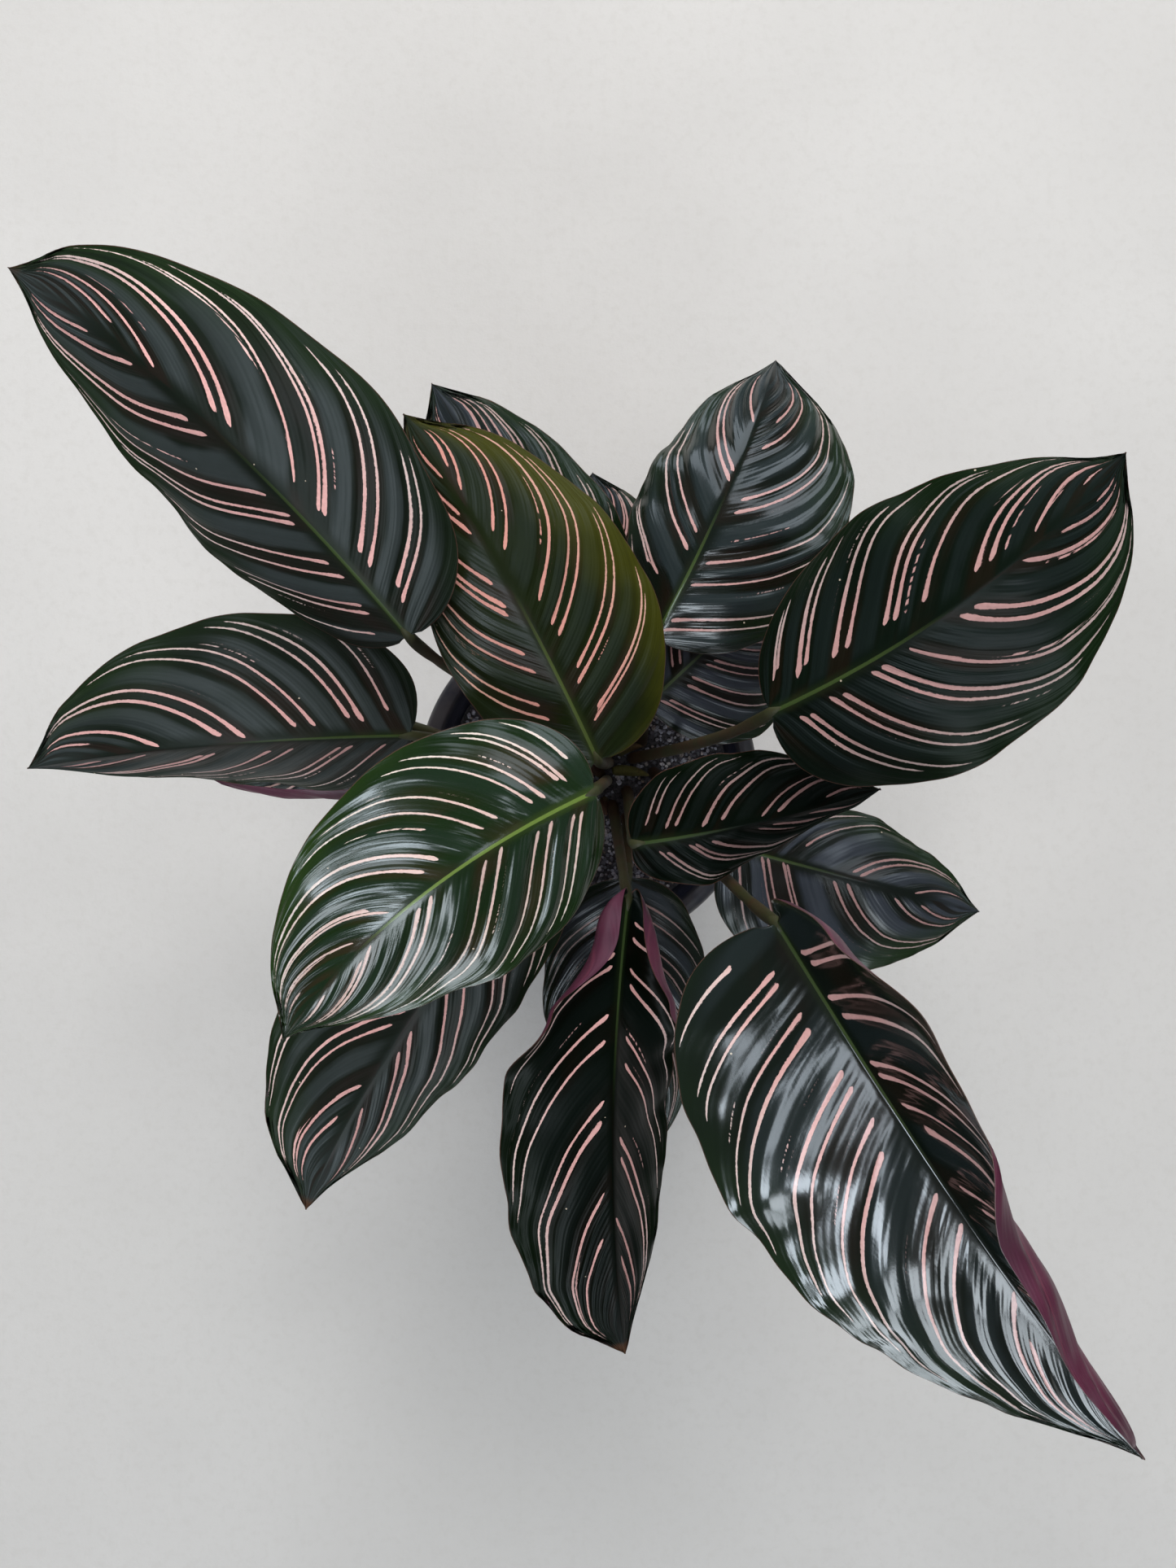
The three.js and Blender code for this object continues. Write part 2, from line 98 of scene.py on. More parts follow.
QUILT_HEIGHT = 0.42  # how far the blade swells between its side veins
SWELL_HEIGHT = 0.4  # how far it rises and falls in long soft swells
VEIN_PAIRS = 40  # more than a blade has, counted from below its base
FIRST_PAIR = -8
VEIN_SWEEP = (0.08, 0.5)  # how fast a side vein runs forward at the base, and how much faster higher up
VEIN_MEETS = 1.05  # where the side veins would run along the margin, in half widths
LAST_PAINT = 0.93  # the painted lines stop this far along the blade
PAIR_GAP = 0.06  # painted lines closer than this belong to one pair of side veins
THIN = 0.42  # weight of the thin broken lines


def half(width, fold, curl):
    return {"width": width, "fold": fold, "curl": curl}


def even(value):
    return (value, value, value)


# base and tip: the midrib's ends. arch and bow: how far its middle rises and moves to the left.
# roll: the turn round the midrib at the base and at the tip. lobe: the reach of the base's lobes.
# wave: height, count and phase of the margin's waves. ruffle: height of its quick waves.
# foot and handle: where the stalk stands and what it bends towards.
LEAVES = {
    "leaf_01": dict(
        base=(-63, 49, 276), tip=(-194, 170, 300), arch=24, bow=-7, roll=(-28, -28),
        left=half(51, (-18, -20, -10), even(-12)), right=half(45.5, (-25, -12, -5), even(-12)),
        lobe=0.2, tip_shape=0.9, wave=(1.6, 3.4, 0.1), foot=(-1, 14), handle=(-65, 47, 205),
    ),
    "leaf_02": dict(
        base=(4, 6, 246), tip=(-67, 132, 268), arch=12, bow=-3, roll=(0, 0),
        left=half(34.5, even(-8), even(-8)), right=half(51, even(-18), even(-12)),
        lobe=0.3, wave=(1.2, 3, 0.3), foot=(10, 8), handle=(8, 4, 215),
    ),
    "leaf_03": dict(
        base=(-68, 16, 236), tip=(-217, 3, 238), arch=16, bow=-2, roll=(-20, -20),
        left=half(50, (-40, -52, -56), even(-6)), right=half(48, (-15, -12, -8), even(-10)),
        lobe=0.3, tip_shape=0.85, wave=(1.6, 3.2, 0.6), foot=(-6, 6), handle=(-38, 12, 210),
    ),
    "leaf_04": dict(
        base=(3, -5, 285), tip=(-106, -92, 285), arch=20, bow=-9, roll=(-14, -14),
        left=half(44, even(-10), even(-15)), right=half(44, even(-12), even(-15)),
        lobe=0.25, tip_shape=0.85, wave=(1.2, 3.1, 0.8), foot=(9, -1), handle=(7, -1, 245),
    ),
    "leaf_05": dict(
        base=(-13, -27, 225), tip=(-117, -180, 205), arch=14, bow=-8, roll=(0, 0),
        left=half(35, (-20, -20, -22, -32, -50), even(-15)),
        right=half(54.5, (-18, -18, -14, -10, -8), even(-13)),
        lobe=0.3, tip_shape=0.65, wave=(1.8, 4.2, 0), ruffle=0.6,
        foot=(1, -7), handle=(-5, -18, 200),
    ),
    "leaf_06": dict(
        base=(16, -47, 232), tip=(16, -242, 200), arch=18, bow=-6, roll=(-14, -10),
        left=half(
            42, (-40, -45, -46, -46, -46, -46, -46, -45, -45), (600, 520, 230, 20, 10, 5, 0, -5, -10),
        ),
        right=half(44, (10, 10, 4, 2, 2, 0, -2, -4, -6), (350, 350, 110, 0, 0, 0, -5, -8, -10)),
        lobe=0.3, tip_shape=0.6, wave=(1.8, 5.1, 0.2), ruffle=0.6,
        foot=(12, -13), handle=(13, -31, 215),
    ),
    "leaf_07": dict(
        base=(17, -43, 190), tip=(24, -172, 175), arch=6, bow=0, roll=(0, 0),
        left=half(35, even(-20), even(-10)), right=half(40, even(-10), even(-10)),
        lobe=0.1, wave=(1.5, 3.4, 0.5), foot=(19, -19), handle=(18, -36, 165),
    ),
    "leaf_08": dict(
        base=(61, -47, 310), tip=(174, -214, 325), arch=16, bow=-4, roll=(0, 0),
        left=half(52, (62, 66, 68, 77, 82), (105, 60, 20, 35, 92, 84, 72, 60, 50)),
        right=half(61, (-8, -8, -22), even(-12)),
        lobe=0.3, tip_shape=0.98, wave=(1.8, 4.6, 0.4), ruffle=0.9,
        foot=(28, -7), handle=(61, -49, 215),
    ),
    "leaf_09": dict(
        base=(58, -28, 205), tip=(168, -57, 190), arch=10, bow=0, roll=(0, 0),
        left=half(31, even(-20), even(-20)), right=half(45, even(-12), even(-15)),
        lobe=0.3, wave=(1.5, 3, 0.7), ruffle=0.45, foot=(32, 3), handle=(47, -14, 172),
    ),
    "leaf_10": dict(
        base=(17, -25, 252), tip=(108, -4, 262), arch=5, bow=-2, roll=(0, 0),
        left=half(31, even(-20), even(-20)), right=half(22, (-18, -22, -50, -60, -50), even(-12)),
        lobe=0.3, wave=(1.3, 3.7, 0.15), foot=(19, -6), handle=(17, -20, 215),
    ),
    "leaf_11": dict(
        base=(63, 22, 284), tip=(164, 99, 335), arch=14, bow=-7, roll=(0, 0),
        left=half(48, even(-25), even(-15)), right=half(49, (-6, -8, -12), even(-15)),
        lobe=0.3, wave=(1.5, 3.3, 0.9), foot=(22, 10), handle=(54, 13, 232),
    ),
    "leaf_12": dict(
        base=(26, 54, 232), tip=(79, 176, 198), arch=20, bow=-3, roll=(0, 0),
        left=half(37, even(-25), even(-20)), right=half(53, (-12, -5, -5), even(-15)),
        lobe=0.08, tip_shape=0.62, wave=(1.8, 3.5, 0.35), ruffle=0.4,
        foot=(16, 26), handle=(12, 35, 205),
    ),
    "leaf_13": dict(
        base=(25, 31, 190), tip=(93, 94, 182), arch=6, bow=0, roll=(0, 0),
        left=half(28, even(-10), even(-10)), right=half(44, even(-10), even(-10)),
        lobe=0.1, wave=(1.5, 3, 0.25), foot=(26, 18), handle=(25, 25, 165),
    ),
    "leaf_14": dict(
        base=(5, 42, 205), tip=(-64, 161, 215), arch=4, bow=0, roll=(0, 0),
        left=half(34, even(-10), even(-10)), right=half(41, even(-10), even(-10)),
        lobe=0.1, wave=(1.6, 3.2, 0.55), foot=(7, 17), handle=(5, 36, 180),
    ),
    "leaf_15": dict(
        base=(16, 46, 166), tip=(2, 137, 168), arch=4, bow=0, roll=(0, 0),
        left=half(36, even(-10), even(-10)), right=half(36, even(-10), even(-10)),
        lobe=0.3, wave=(1.4, 3, 0.65), foot=(6, 27), handle=(12, 40, 150),
    ),
    "leaf_16": dict(
        base=(-79, 24, 165), tip=(-191, 19, 160), arch=6, bow=0, roll=(0, 0),
        left=half(43, even(-20), (160, 190, 130)), right=half(36, even(-10), even(-10)),
        lobe=0.3, wave=(1, 3, 0), foot=(-13, 2), handle=(-46, 12, 172),
    ),
}


# Where each painted line starts: along the blade and outwards from the midrib, as parts of the length
# and of the half width. First the left half, then the right one. THIN makes a line thin and broken.
LINES = {
    "leaf_01": (
        [(0.036, 0.54), (0.068, 0.24), (0.089, 0.22), (0.146, 0.11), (0.182, 0.13), (0.27, 0.10),
         (0.285, 0.07), (0.341, 0.10), (0.496, 0.41, THIN), (0.481, 0.08), (0.53, 0.10),
         (0.665, 0.05), (0.776, 0.10)],
        [(0.057, 0.24), (0.084, 0.28), (0.136, 0.15), (0.166, 0.165), (0.249, 0.14), (0.26, 0.13),
         (0.323, 0.14), (0.52, 0.63, THIN), (0.455, 0.10), (0.495, 0.11), (0.625, 0.06),
         (0.737, 0.165)],
    ),
    "leaf_02": (
        [(0.153, 0.35), (0.195, 0.36), (0.269, 0.20), (0.323, 0.21), (0.425, 0.165),
         (0.446, 0.14), (0.512, 0.157), (0.643, 0.09), (0.70, 0.10), (0.80, 0.05)],
        [(0.097, 0.15), (0.123, 0.24), (0.197, 0.126), (0.234, 0.18), (0.323, 0.15),
         (0.355, 0.14), (0.422, 0.135), (0.545, 0.39, THIN), (0.566, 0.10), (0.624, 0.11),
         (0.749, 0.07), (0.82, 0.10)],
    ),
    "leaf_03": (
        [(0.06, 0.2), (0.141, 0.15), (0.172, 0.18), (0.289, 0.15), (0.35, 0.18), (0.492, 0.16),
         (0.53, 0.20), (0.66, 0.07), (0.796, 0.14)],
        [(0.064, 0.37), (0.116, 0.165), (0.151, 0.19), (0.23, 0.11), (0.277, 0.11), (0.399, 0.04),
         (0.46, 0.07), (0.615, 0.035), (0.80, 0.21)],
    ),
    "leaf_04": (
        [(0.047, 0.22), (0.067, 0.17), (0.123, 0.08), (0.162, 0.10), (0.256, 0.04),
         (0.305, 0.065), (0.453, 0.035), (0.485, 0.41, THIN), (0.50, 0.065), (0.648, 0.04),
         (0.70, 0.11), (0.825, 0.09)],
        [(0.049, 0.65), (0.057, 0.30), (0.077, 0.33), (0.116, 0.165), (0.149, 0.165),
         (0.234, 0.18), (0.272, 0.15), (0.385, 0.39, THIN), (0.392, 0.14), (0.438, 0.13),
         (0.555, 0.065), (0.604, 0.22), (0.676, 0.09), (0.79, 0.30), (0.858, 0.25)],
    ),
    "leaf_05": (
        [(0.06, 0.25), (0.09, 0.2), (0.17, 0.12), (0.21, 0.12), (0.31, 0.10), (0.363, 0.07),
         (0.50, 0.07), (0.553, 0.09), (0.707, 0.08)],
        [(0.06, 0.3), (0.09, 0.25), (0.16, 0.15), (0.20, 0.14), (0.30, 0.12), (0.34, 0.12),
         (0.464, 0.07), (0.51, 0.10), (0.648, 0.04), (0.754, 0.12), (0.85, 0.5)],
    ),
    "leaf_06": (
        [(0.05, 0.3), (0.08, 0.25), (0.141, 0.22), (0.175, 0.22), (0.264, 0.20, THIN),
         (0.279, 0.19), (0.336, 0.20), (0.486, 0.12), (0.535, 0.15), (0.653, 0.03),
         (0.757, 0.12)],
        [(0.111, 0.12), (0.136, 0.13), (0.23, 0.10), (0.281, 0.11), (0.399, 0.09), (0.443, 0.11),
         (0.592, 0.08), (0.688, 0.12), (0.79, 0.5, THIN)],
    ),
    "leaf_08": (
        [(0.062, 0.10), (0.084, 0.14), (0.136, 0.065), (0.17, 0.10), (0.246, 0.065),
         (0.267, 0.07), (0.318, 0.11), (0.36, 0.20), (0.454, 0.15), (0.495, 0.22), (0.64, 0.12),
         (0.74, 0.15)],
        [(0.044, 0.65), (0.064, 0.23), (0.084, 0.24), (0.136, 0.165), (0.163, 0.165),
         (0.237, 0.12), (0.264, 0.12), (0.318, 0.11), (0.367, 0.17), (0.456, 0.056),
         (0.513, 0.04), (0.64, 0.02), (0.73, 0.17)],
    ),
    "leaf_09": (
        [(0.06, 0.3), (0.11, 0.3), (0.20, 0.33), (0.274, 0.28), (0.46, 0.09), (0.49, 0.06),
         (0.71, 0.03)],
        [(0.05, 0.2), (0.125, 0.02), (0.148, 0.02), (0.205, 0.02), (0.22, 0.03), (0.40, 0.065),
         (0.45, 0.056), (0.64, 0.09), (0.75, 0.12)],
    ),
    "leaf_10": (
        [(0.062, 0.40), (0.113, 0.50), (0.133, 0.18), (0.175, 0.18), (0.279, 0.09),
         (0.359, 0.126), (0.513, 0.07), (0.58, 0.08), (0.78, 0.157)],
        [(0.10, 0.265), (0.133, 0.31), (0.215, 0.18), (0.242, 0.18), (0.308, 0.17), (0.49, 0.17),
         (0.553, 0.16), (0.70, 0.14)],
    ),
    "leaf_11": (
        [(0.039, 0.50), (0.059, 0.55), (0.087, 0.23), (0.119, 0.30), (0.182, 0.18), (0.22, 0.19),
         (0.32, 0.18), (0.346, 0.165), (0.375, 0.165, THIN), (0.424, 0.157), (0.558, 0.12),
         (0.60, 0.12), (0.64, 0.12, THIN), (0.719, 0.08), (0.81, 0.24, THIN), (0.873, 0.15)],
        [(0.062, 0.20), (0.085, 0.20), (0.138, 0.10), (0.17, 0.126), (0.247, 0.07), (0.274, 0.07),
         (0.345, 0.06), (0.53, 0.54, THIN), (0.468, 0.06), (0.513, 0.07), (0.695, 0.19, THIN),
         (0.646, 0.03), (0.76, 0.08), (0.875, 0.17)],
    ),
    "leaf_12": (
        [(0.10, 0.5), (0.17, 0.40), (0.20, 0.60), (0.27, 0.14), (0.331, 0.126), (0.51, 0.02),
         (0.545, 0.02), (0.727, 0.02)],
        [(0.033, 0.06), (0.07, 0.087), (0.182, 0.07), (0.257, 0.09), (0.345, 0.19, THIN),
         (0.425, 0.113), (0.471, 0.12), (0.65, 0.13), (0.76, 0.20)],
    ),
}
# How grey-blue the panels between the side veins are: partly the leaf's own paler bands and partly
# painted sheen, a painted reflection of the sky
BLOOM_AND_SHEEN = {
    "leaf_01": 0.8, "leaf_02": 0.6, "leaf_03": 0.6, "leaf_05": 0.6, "leaf_06": 0.15, "leaf_08": 0.3,
    "leaf_09": 1.0, "leaf_10": 0.15, "leaf_11": 0.15, "leaf_13": 1.0,
}
PLAIN_BLOOM_AND_SHEEN = 0.5
# How strongly the blade swells between its side veins
QUILTED = {
    "leaf_02": 0.8, "leaf_04": 1.4, "leaf_05": 1.3, "leaf_08": 1.9, "leaf_11": 0.6, "leaf_12": 1.7,
}
PLAIN_QUILT = 1.0
# How wide the painted lines are
BOLD = {
    "leaf_04": 0.72, "leaf_06": 0.92, "leaf_07": 0.62, "leaf_08": 0.95, "leaf_09": 0.68,
    "leaf_10": 0.68, "leaf_11": 1.0, "leaf_12": 0.76, "leaf_13": 0.62,
}
PLAIN_BOLD = 0.82
# How lit the painted lines look: painted shade darkens them towards SHADED_PINK on leaves that lie in
# shade
LIT = {
    "leaf_01": 0.90, "leaf_02": 1.0, "leaf_03": 0.70, "leaf_04": 1.0, "leaf_05": 0.80, "leaf_06": 0.72,
    "leaf_07": 0.22, "leaf_08": 0.72, "leaf_09": 0.40, "leaf_10": 0.20, "leaf_11": 0.43,
    "leaf_12": 0.48, "leaf_13": 0.48,
}
PLAIN_LIT = 0.45
# How brown and dry the tip is
DRY_TIPS = {"leaf_05": 1.0, "leaf_06": 1.0, "leaf_01": 0.3}
# How far forward the side veins run on the left and on the right
VEIN_LEAD = {"leaf_03": (1.15, 1.15), "leaf_06": (0.85, 0.85), "leaf_08": (0.45, 0.75)}
PLAIN_LEAD = (1.0, 1.0)


# Old sheaths round the stalks' feet: start, middle, end, half width and how dry each one is
SHEATHS = [
    ((12, 4.5, 118), (21, 4.5, 130), (29, 1.5, 138), 2.6, 0.25),
    ((6.5, 1, 118), (1.5, 4, 134), (3.5, 11, 144), 2.8, 1.0),
    ((8, -8.5, 118), (6, -11, 134), (9, -17, 146), 2.2, 0.9),
    ((6.5, 10, 118), (4.5, 14, 132), (-1.5, 16, 138), 2.4, 0.7),
    ((14, 12.5, 118), (19, 15.5, 130), (26, 15.5, 134), 2.2, 0.5),
    ((2, -2, 118), (-4, -3, 128), (-9, -1, 130), 2.0, 1.0),
]
SHEATH_ROWS = 14
SHEATH_COLUMNS = 4
SHEATH_THICKNESS = 0.3


class Field:
    """A value that changes over a surface. Sums and products of fields add Math nodes."""

    def __init__(self, look, socket):
        self.look = look
        self.socket = socket

    def math(self, operation, *others):
        return self.look.add("ShaderNodeMath", {"operation": operation}, [self, *others])

    def __add__(self, other):
        return self.math("ADD", other)

    __radd__ = __add__

    def __sub__(self, other):
        return self.math("SUBTRACT", other)

    def __rsub__(self, other):
        return self.look.add("ShaderNodeMath", {"operation": "SUBTRACT"}, [other, self])

    def __mul__(self, other):
        return self.math("MULTIPLY", other)

    __rmul__ = __mul__

    def __truediv__(self, other):
        return self.math("DIVIDE", other)

    def __abs__(self):
        return self.math("ABSOLUTE")

    def floor(self):
        return self.math("FLOOR")

    def sine(self):
        return self.math("SINE")

    def power(self, other):
        return self.math("POWER", other)

    def lower(self, other):
        return self.math("MINIMUM", other)

    def higher(self, other):
        return self.math("MAXIMUM", other)

    def rise(self, start, end):
        """0 before start and 1 after end, with a smooth step between them."""
        settings = {"interpolation_type": "SMOOTHSTEP"}
        inputs = {0: self, 1: start, 2: end, 3: 0.0, 4: 1.0}
        return self.look.add("ShaderNodeMapRange", settings, inputs)


class Look:
    """A material and the nodes in it."""

    def __init__(self, name):
        self.material = bpy.data.materials.new(name)
        self.material.use_nodes = True
        self.nodes = self.material.node_tree.nodes
        self.links = self.material.node_tree.links
        self.nodes.clear()

    def add(self, kind, settings=None, inputs=None, output=0):
        """Adds a node with its settings first, then its sockets' values or links."""
        node = self.nodes.new(kind)
        for name, value in (settings or {}).items():
            if name == "stops":
                self.set_stops(node.color_ramp, value)
            else:
                setattr(node, name, value)
        rows = inputs.items() if isinstance(inputs, dict) else enumerate(inputs or [])
        for key, value in rows:
            if isinstance(value, Field):
                self.links.new(value.socket, node.inputs[key])
            else:
                node.inputs[key].default_value = value
        return Field(self, node.outputs[output]) if len(node.outputs) else None

    @staticmethod
    def set_stops(ramp, stops):
        while len(ramp.elements) < len(stops):
            ramp.elements.new(1.0)
        for element, (position, colour) in zip(ramp.elements, stops):
            element.position = position
            element.color = (*colour, 1.0)

    def attribute(self, name):
        return self.add("ShaderNodeAttribute", {"attribute_name": name}, output="Fac")

    def place(self):
        return self.add("ShaderNodeTexCoord", output="Object")

    def noise(self, vector, scale, detail=2.0, roughness=0.5):
        inputs = {"Vector": vector, "Scale": scale, "Detail": detail, "Roughness": roughness}
        return self.add("ShaderNodeTexNoise", None, inputs)

    def random(self, x, y):
        """A fixed random number for each pair of whole numbers."""
        settings = {"noise_dimensions": "3D"}
        return self.add("ShaderNodeTexWhiteNoise", settings, {"Vector": self.join(x, y)})

    def join(self, x, y, z=0.0):
        return self.add("ShaderNodeCombineXYZ", None, [x, y, z])

    def stretched(self, vector, *scale):
        return self.add("ShaderNodeMapping", None, {"Vector": vector, "Scale": scale})

    def mix(self, factor, under, over):
        """One colour over another by a factor."""
        settings = {"data_type": "RGBA"}
        under = under if isinstance(under, Field) else (*under, 1.0)
        over = over if isinstance(over, Field) else (*over, 1.0)
        return self.add("ShaderNodeMix", settings, {0: factor, 6: under, 7: over}, output=2)

    def bump(self, height, distance, strength=1.0):
        given = {"Height": height, "Distance": distance, "Strength": strength}
        return self.add("ShaderNodeBump", None, given)

    def finish(self, sockets):
        shader = self.add("ShaderNodeBsdfPrincipled", None, sockets)
        self.add("ShaderNodeOutputMaterial", None, {0: shader})
        return self.material


# Leaf looks

PINK = (0.88, 0.49, 0.47)
PALE_PINK = (0.82, 0.66, 0.63)
SHADED_PINK = (0.10, 0.070, 0.070)


def painted_lines(look, place, side):
    """The pink lines beside the side veins: blunt near the midrib and drawn out towards the margin."""
    line = look.attribute("line")
    grade = look.attribute("grade")
    begun = look.attribute("begun")
    remaining = look.attribute("remaining")
    weight = look.attribute("weight")
    cell = line.floor()
    in_cell = line - cell
    wobble = 0.40 * (look.noise(place, 380.0, 3.0, 0.65) - 0.5)
    wobble = wobble + 0.32 * (look.noise(place, 1300.0, 2.0) - 0.5)
    done = begun / (begun + remaining).higher(1.0)
    thick = 0.60 + 0.34 * (1.0 - done.rise(0.0, 0.26)) - 0.24 * done.rise(0.40, 1.0)
    blunt = (begun + 0.10).higher(0.0).lower(1.0).power(0.5)
    taper = (remaining / 1.8).higher(0.0).lower(1.0).power(0.7)
    thick = thick * weight * look.attribute("bold") * blunt * taper
    thick = thick * (0.78 + 0.44 * look.random(cell, side))
    solid = (thick - abs(in_cell - 0.5) * grade - wobble).rise(-0.05, 0.07)
    dashes = look.noise(look.join(begun * 0.45, cell, side), 1.0, 1.0).rise(0.44, 0.52)
    whole = weight.rise(0.5, 0.75)
    solid = solid * thick.rise(0.03, 0.09) * (dashes + whole).lower(1.0)

    # Short rows of dots in some of the wide gaps
    where = 0.12 + 0.14 * look.random(cell, side + 5.1)
    start = 6.0 + 26.0 * look.random(cell, side + 9.7)
    part = (begun - start).rise(-0.4, 0.4) * (start + 8.0 - begun).rise(-0.4, 0.4)
    dots = look.noise(look.join(begun * 1.1, cell, side), 1.0, 1.0).rise(0.46, 0.54)
    thin_line = (0.20 - abs(in_cell - where) * grade - wobble).rise(-0.05, 0.06)
    some = look.random(cell, side + 13.9).rise(0.45, 0.46)
    some = some * grade.rise(7.0, 9.0) * remaining.rise(1.0, 3.0)
    inside = line.rise(-0.001, 0.001) * (look.attribute("lines") - line).rise(-0.001, 0.001)
    return solid.higher(thin_line * part * dots * some) * inside, wobble


def upper_face(
    name, deep, panel, panel_strength, flush, flush_reach, flush_side, rib, stripe_colours,
    gloss, specular, coat,
):
    """The dark waxy face with its pink lines.

    flush: a warmer colour from the margin inwards. rib: the midrib's colour and where it fades.
    """
    look = Look(name)
    place = look.place()
    along = look.attribute("along")
    across = look.attribute("across")
    vein = look.attribute("vein")
    reach_mm = look.attribute("reach")
    margin_mm = look.attribute("margin")
    side = look.attribute("side")
    in_pair = vein - vein.floor()
    away = abs(across)
    striped, wobble = painted_lines(look, place, side)

    # Specks
    spots = {"Vector": place, "Scale": 130.0}
    from_spot = look.add("ShaderNodeTexVoronoi", None, spots)
    spot_colour = look.add("ShaderNodeTexVoronoi", None, spots, output="Color")
    tone = look.add("ShaderNodeSeparateColor", None, [spot_colour])
    specks = (0.045 - from_spot).rise(-0.008, 0.008) * tone.rise(0.86, 0.88)

    # Grey-blue panels between the pairs, on dark green: partly the leaf's own paler bands and partly
    # painted sheen, a painted reflection of the sky
    wave = (vein * TURN).math("COSINE") * 0.5 + 0.5
    streaks = look.noise(look.join(vein * 9.0, away * 1.6, side), 1.0, 3.0, 0.6)
    clouds = look.noise(place, 28.0, 3.0)
    panels = (wave + 0.5 * (streaks - 0.5) + 0.9 * (clouds - 0.5)).rise(0.52, 0.86)
    bloom = look.attribute("bloom")
    panels = panels * away.rise(0.03, 0.14) * (1.0 - away.rise(0.70, 0.95) * 0.9) * bloom
    # Painted sheen over the blade's last stretch towards the tip
    panels = (panels + along.rise(0.70, 0.92) * 0.7 * bloom).lower(1.0)
    colour = look.mix(panels * panel_strength, deep, panel)
    mottle = look.noise(place, 90.0, 4.0, 0.6)
    brown = look.noise(look.join(vein * 0.8, away * 2.0, side), 1.0, 2.0).rise(0.40, 0.62)
    brown = brown * (1.0 - wave).rise(0.15, 0.75) * (1.0 - away.rise(0.55, 0.9))
    colour = look.mix(brown * 0.8, colour, (deep[1] * 1.6, deep[1] * 1.0, deep[0] * 1.2))
    colour = look.mix((mottle - 0.35) * 0.55, colour, tuple(c * 1.9 for c in deep))
    warm = away + 0.7 * (along - 0.5) + 0.8 * (clouds - 0.5) - flush_side * across
    warm = warm.rise(1.0 - flush_reach, 1.25) * (bloom * 0.7 + 0.4).lower(1.0)
    colour = look.mix(warm, colour, flush)

    # Midrib, fading towards the tip, and a thin margin line
    rib_width = 0.75 - 0.45 * along
    rib_line = (rib_width - reach_mm + 0.4 * wobble).rise(-0.12, 0.18)
    rib_colour, fade_start, fade_end = rib
    rib_fade = 1.0 - along.rise(fade_start, fade_end)
    colour = look.mix(rib_line * rib_fade, colour, rib_colour)
    rib_glow = (3.5 - reach_mm).rise(0.0, 3.0) * rib_fade * (1.0 - along.rise(0.0, 0.4)) * 0.2
    colour = look.mix(rib_glow, colour, rib_colour)
    edge = (0.30 - margin_mm + 0.6 * wobble).rise(-0.1, 0.15) * 0.7
    colour = look.mix(edge, colour, (0.085, 0.040, 0.030))

    paint = look.mix(away.rise(0.35, 0.9), stripe_colours[0], stripe_colours[1])
    paint = look.mix(look.noise(place, 700.0, 2.0).rise(0.35, 0.75) * 0.25, paint, (0.50, 0.22, 0.19))
    # Painted shade: the lines of leaves in shade are darkened by their lit value
    paint = look.mix(look.attribute("lit"), SHADED_PINK, paint)
    colour = look.mix(striped, colour, paint)
    colour = look.mix(specks, colour, (0.50, 0.42, 0.33))
    dry = (along + 0.03 * (mottle - 0.5)).rise(0.952, 0.972) * look.attribute("dry")
    colour = look.mix(dry, colour, (0.075, 0.035, 0.018))

    # Fine lines along the side veins, a groove between pairs, and the dip of the painted lines
    fine = (vein * (13.0 * TURN) + 4.0 * (streaks - 0.5)).sine() * 0.022
    pleats = (vein * (4.0 * TURN) + 6.0 * (clouds - 0.5)).sine() * 0.090
    clear_of_rib = reach_mm.rise(0.5, 6.0)
    grooves = (1.0 - abs(in_pair - 0.5) * 2.0).rise(0.0, 0.10) * 0.05
    half_grooves = abs(in_pair - 0.5).rise(0.0, 0.045) * 0.022
    cross = look.noise(look.join(vein * 2.0, away * 55.0, along * 3.0), 1.0, 2.0) * 0.014
    skin = look.noise(place, 900.0, 2.0) * 0.012
    lengthwise = (fine + pleats) * (1.0 - 0.6 * away) + grooves + half_grooves
    height = lengthwise * clear_of_rib + cross + skin + striped * 0.02
    rough = gloss + 0.10 * bloom + striped * 0.10 + dry * 0.3
    rough = rough + 0.10 * (clouds - 0.5) + 0.06 * (mottle - 0.5)
    return look.finish({
        "Base Color": colour,
        "Roughness": rough,
        "Specular IOR Level": specular,
        "Coat Weight": coat,
        "Coat Roughness": 0.12,
        "Normal": look.bump(height, MM),
    })


def under_face():
    """The wine-red underside with its pale veins."""
    look = Look("leaf_underside")
    place = look.place()
    vein = look.attribute("vein")
    reach_mm = look.attribute("reach")
    along = look.attribute("along")
    streaks = look.noise(look.join(vein * 9.0, abs(look.attribute("across")) * 1.6), 1.0, 3.0)
    clouds = look.noise(place, 35.0, 3.0)
    colour = look.mix(clouds.rise(0.3, 0.7), (0.105, 0.018, 0.046), (0.062, 0.012, 0.030))
    in_pair = vein - vein.floor()
    veins = (1.0 - abs(in_pair - 0.5) * 2.0).rise(0.0, 0.12)
    colour = look.mix((1.0 - veins) * 0.6, colour, (0.15, 0.030, 0.060))
    colour = look.mix(streaks.rise(0.45, 0.7) * 0.35, colour, (0.045, 0.010, 0.022))
    rib = (1.9 - reach_mm).rise(-0.2, 0.4)
    colour = look.mix(rib * (1.0 - 0.6 * along), colour, (0.12, 0.085, 0.045))
    fine = (vein * (9.0 * TURN) + 3.0 * (streaks - 0.5)).sine() * 0.015
    height = fine - veins * 0.07 + look.noise(place, 800.0, 2.0) * 0.02
    return look.finish({
        "Base Color": colour,
        "Roughness": 0.46 + 0.12 * (clouds - 0.5),
        "Normal": look.bump(height, MM),
    })


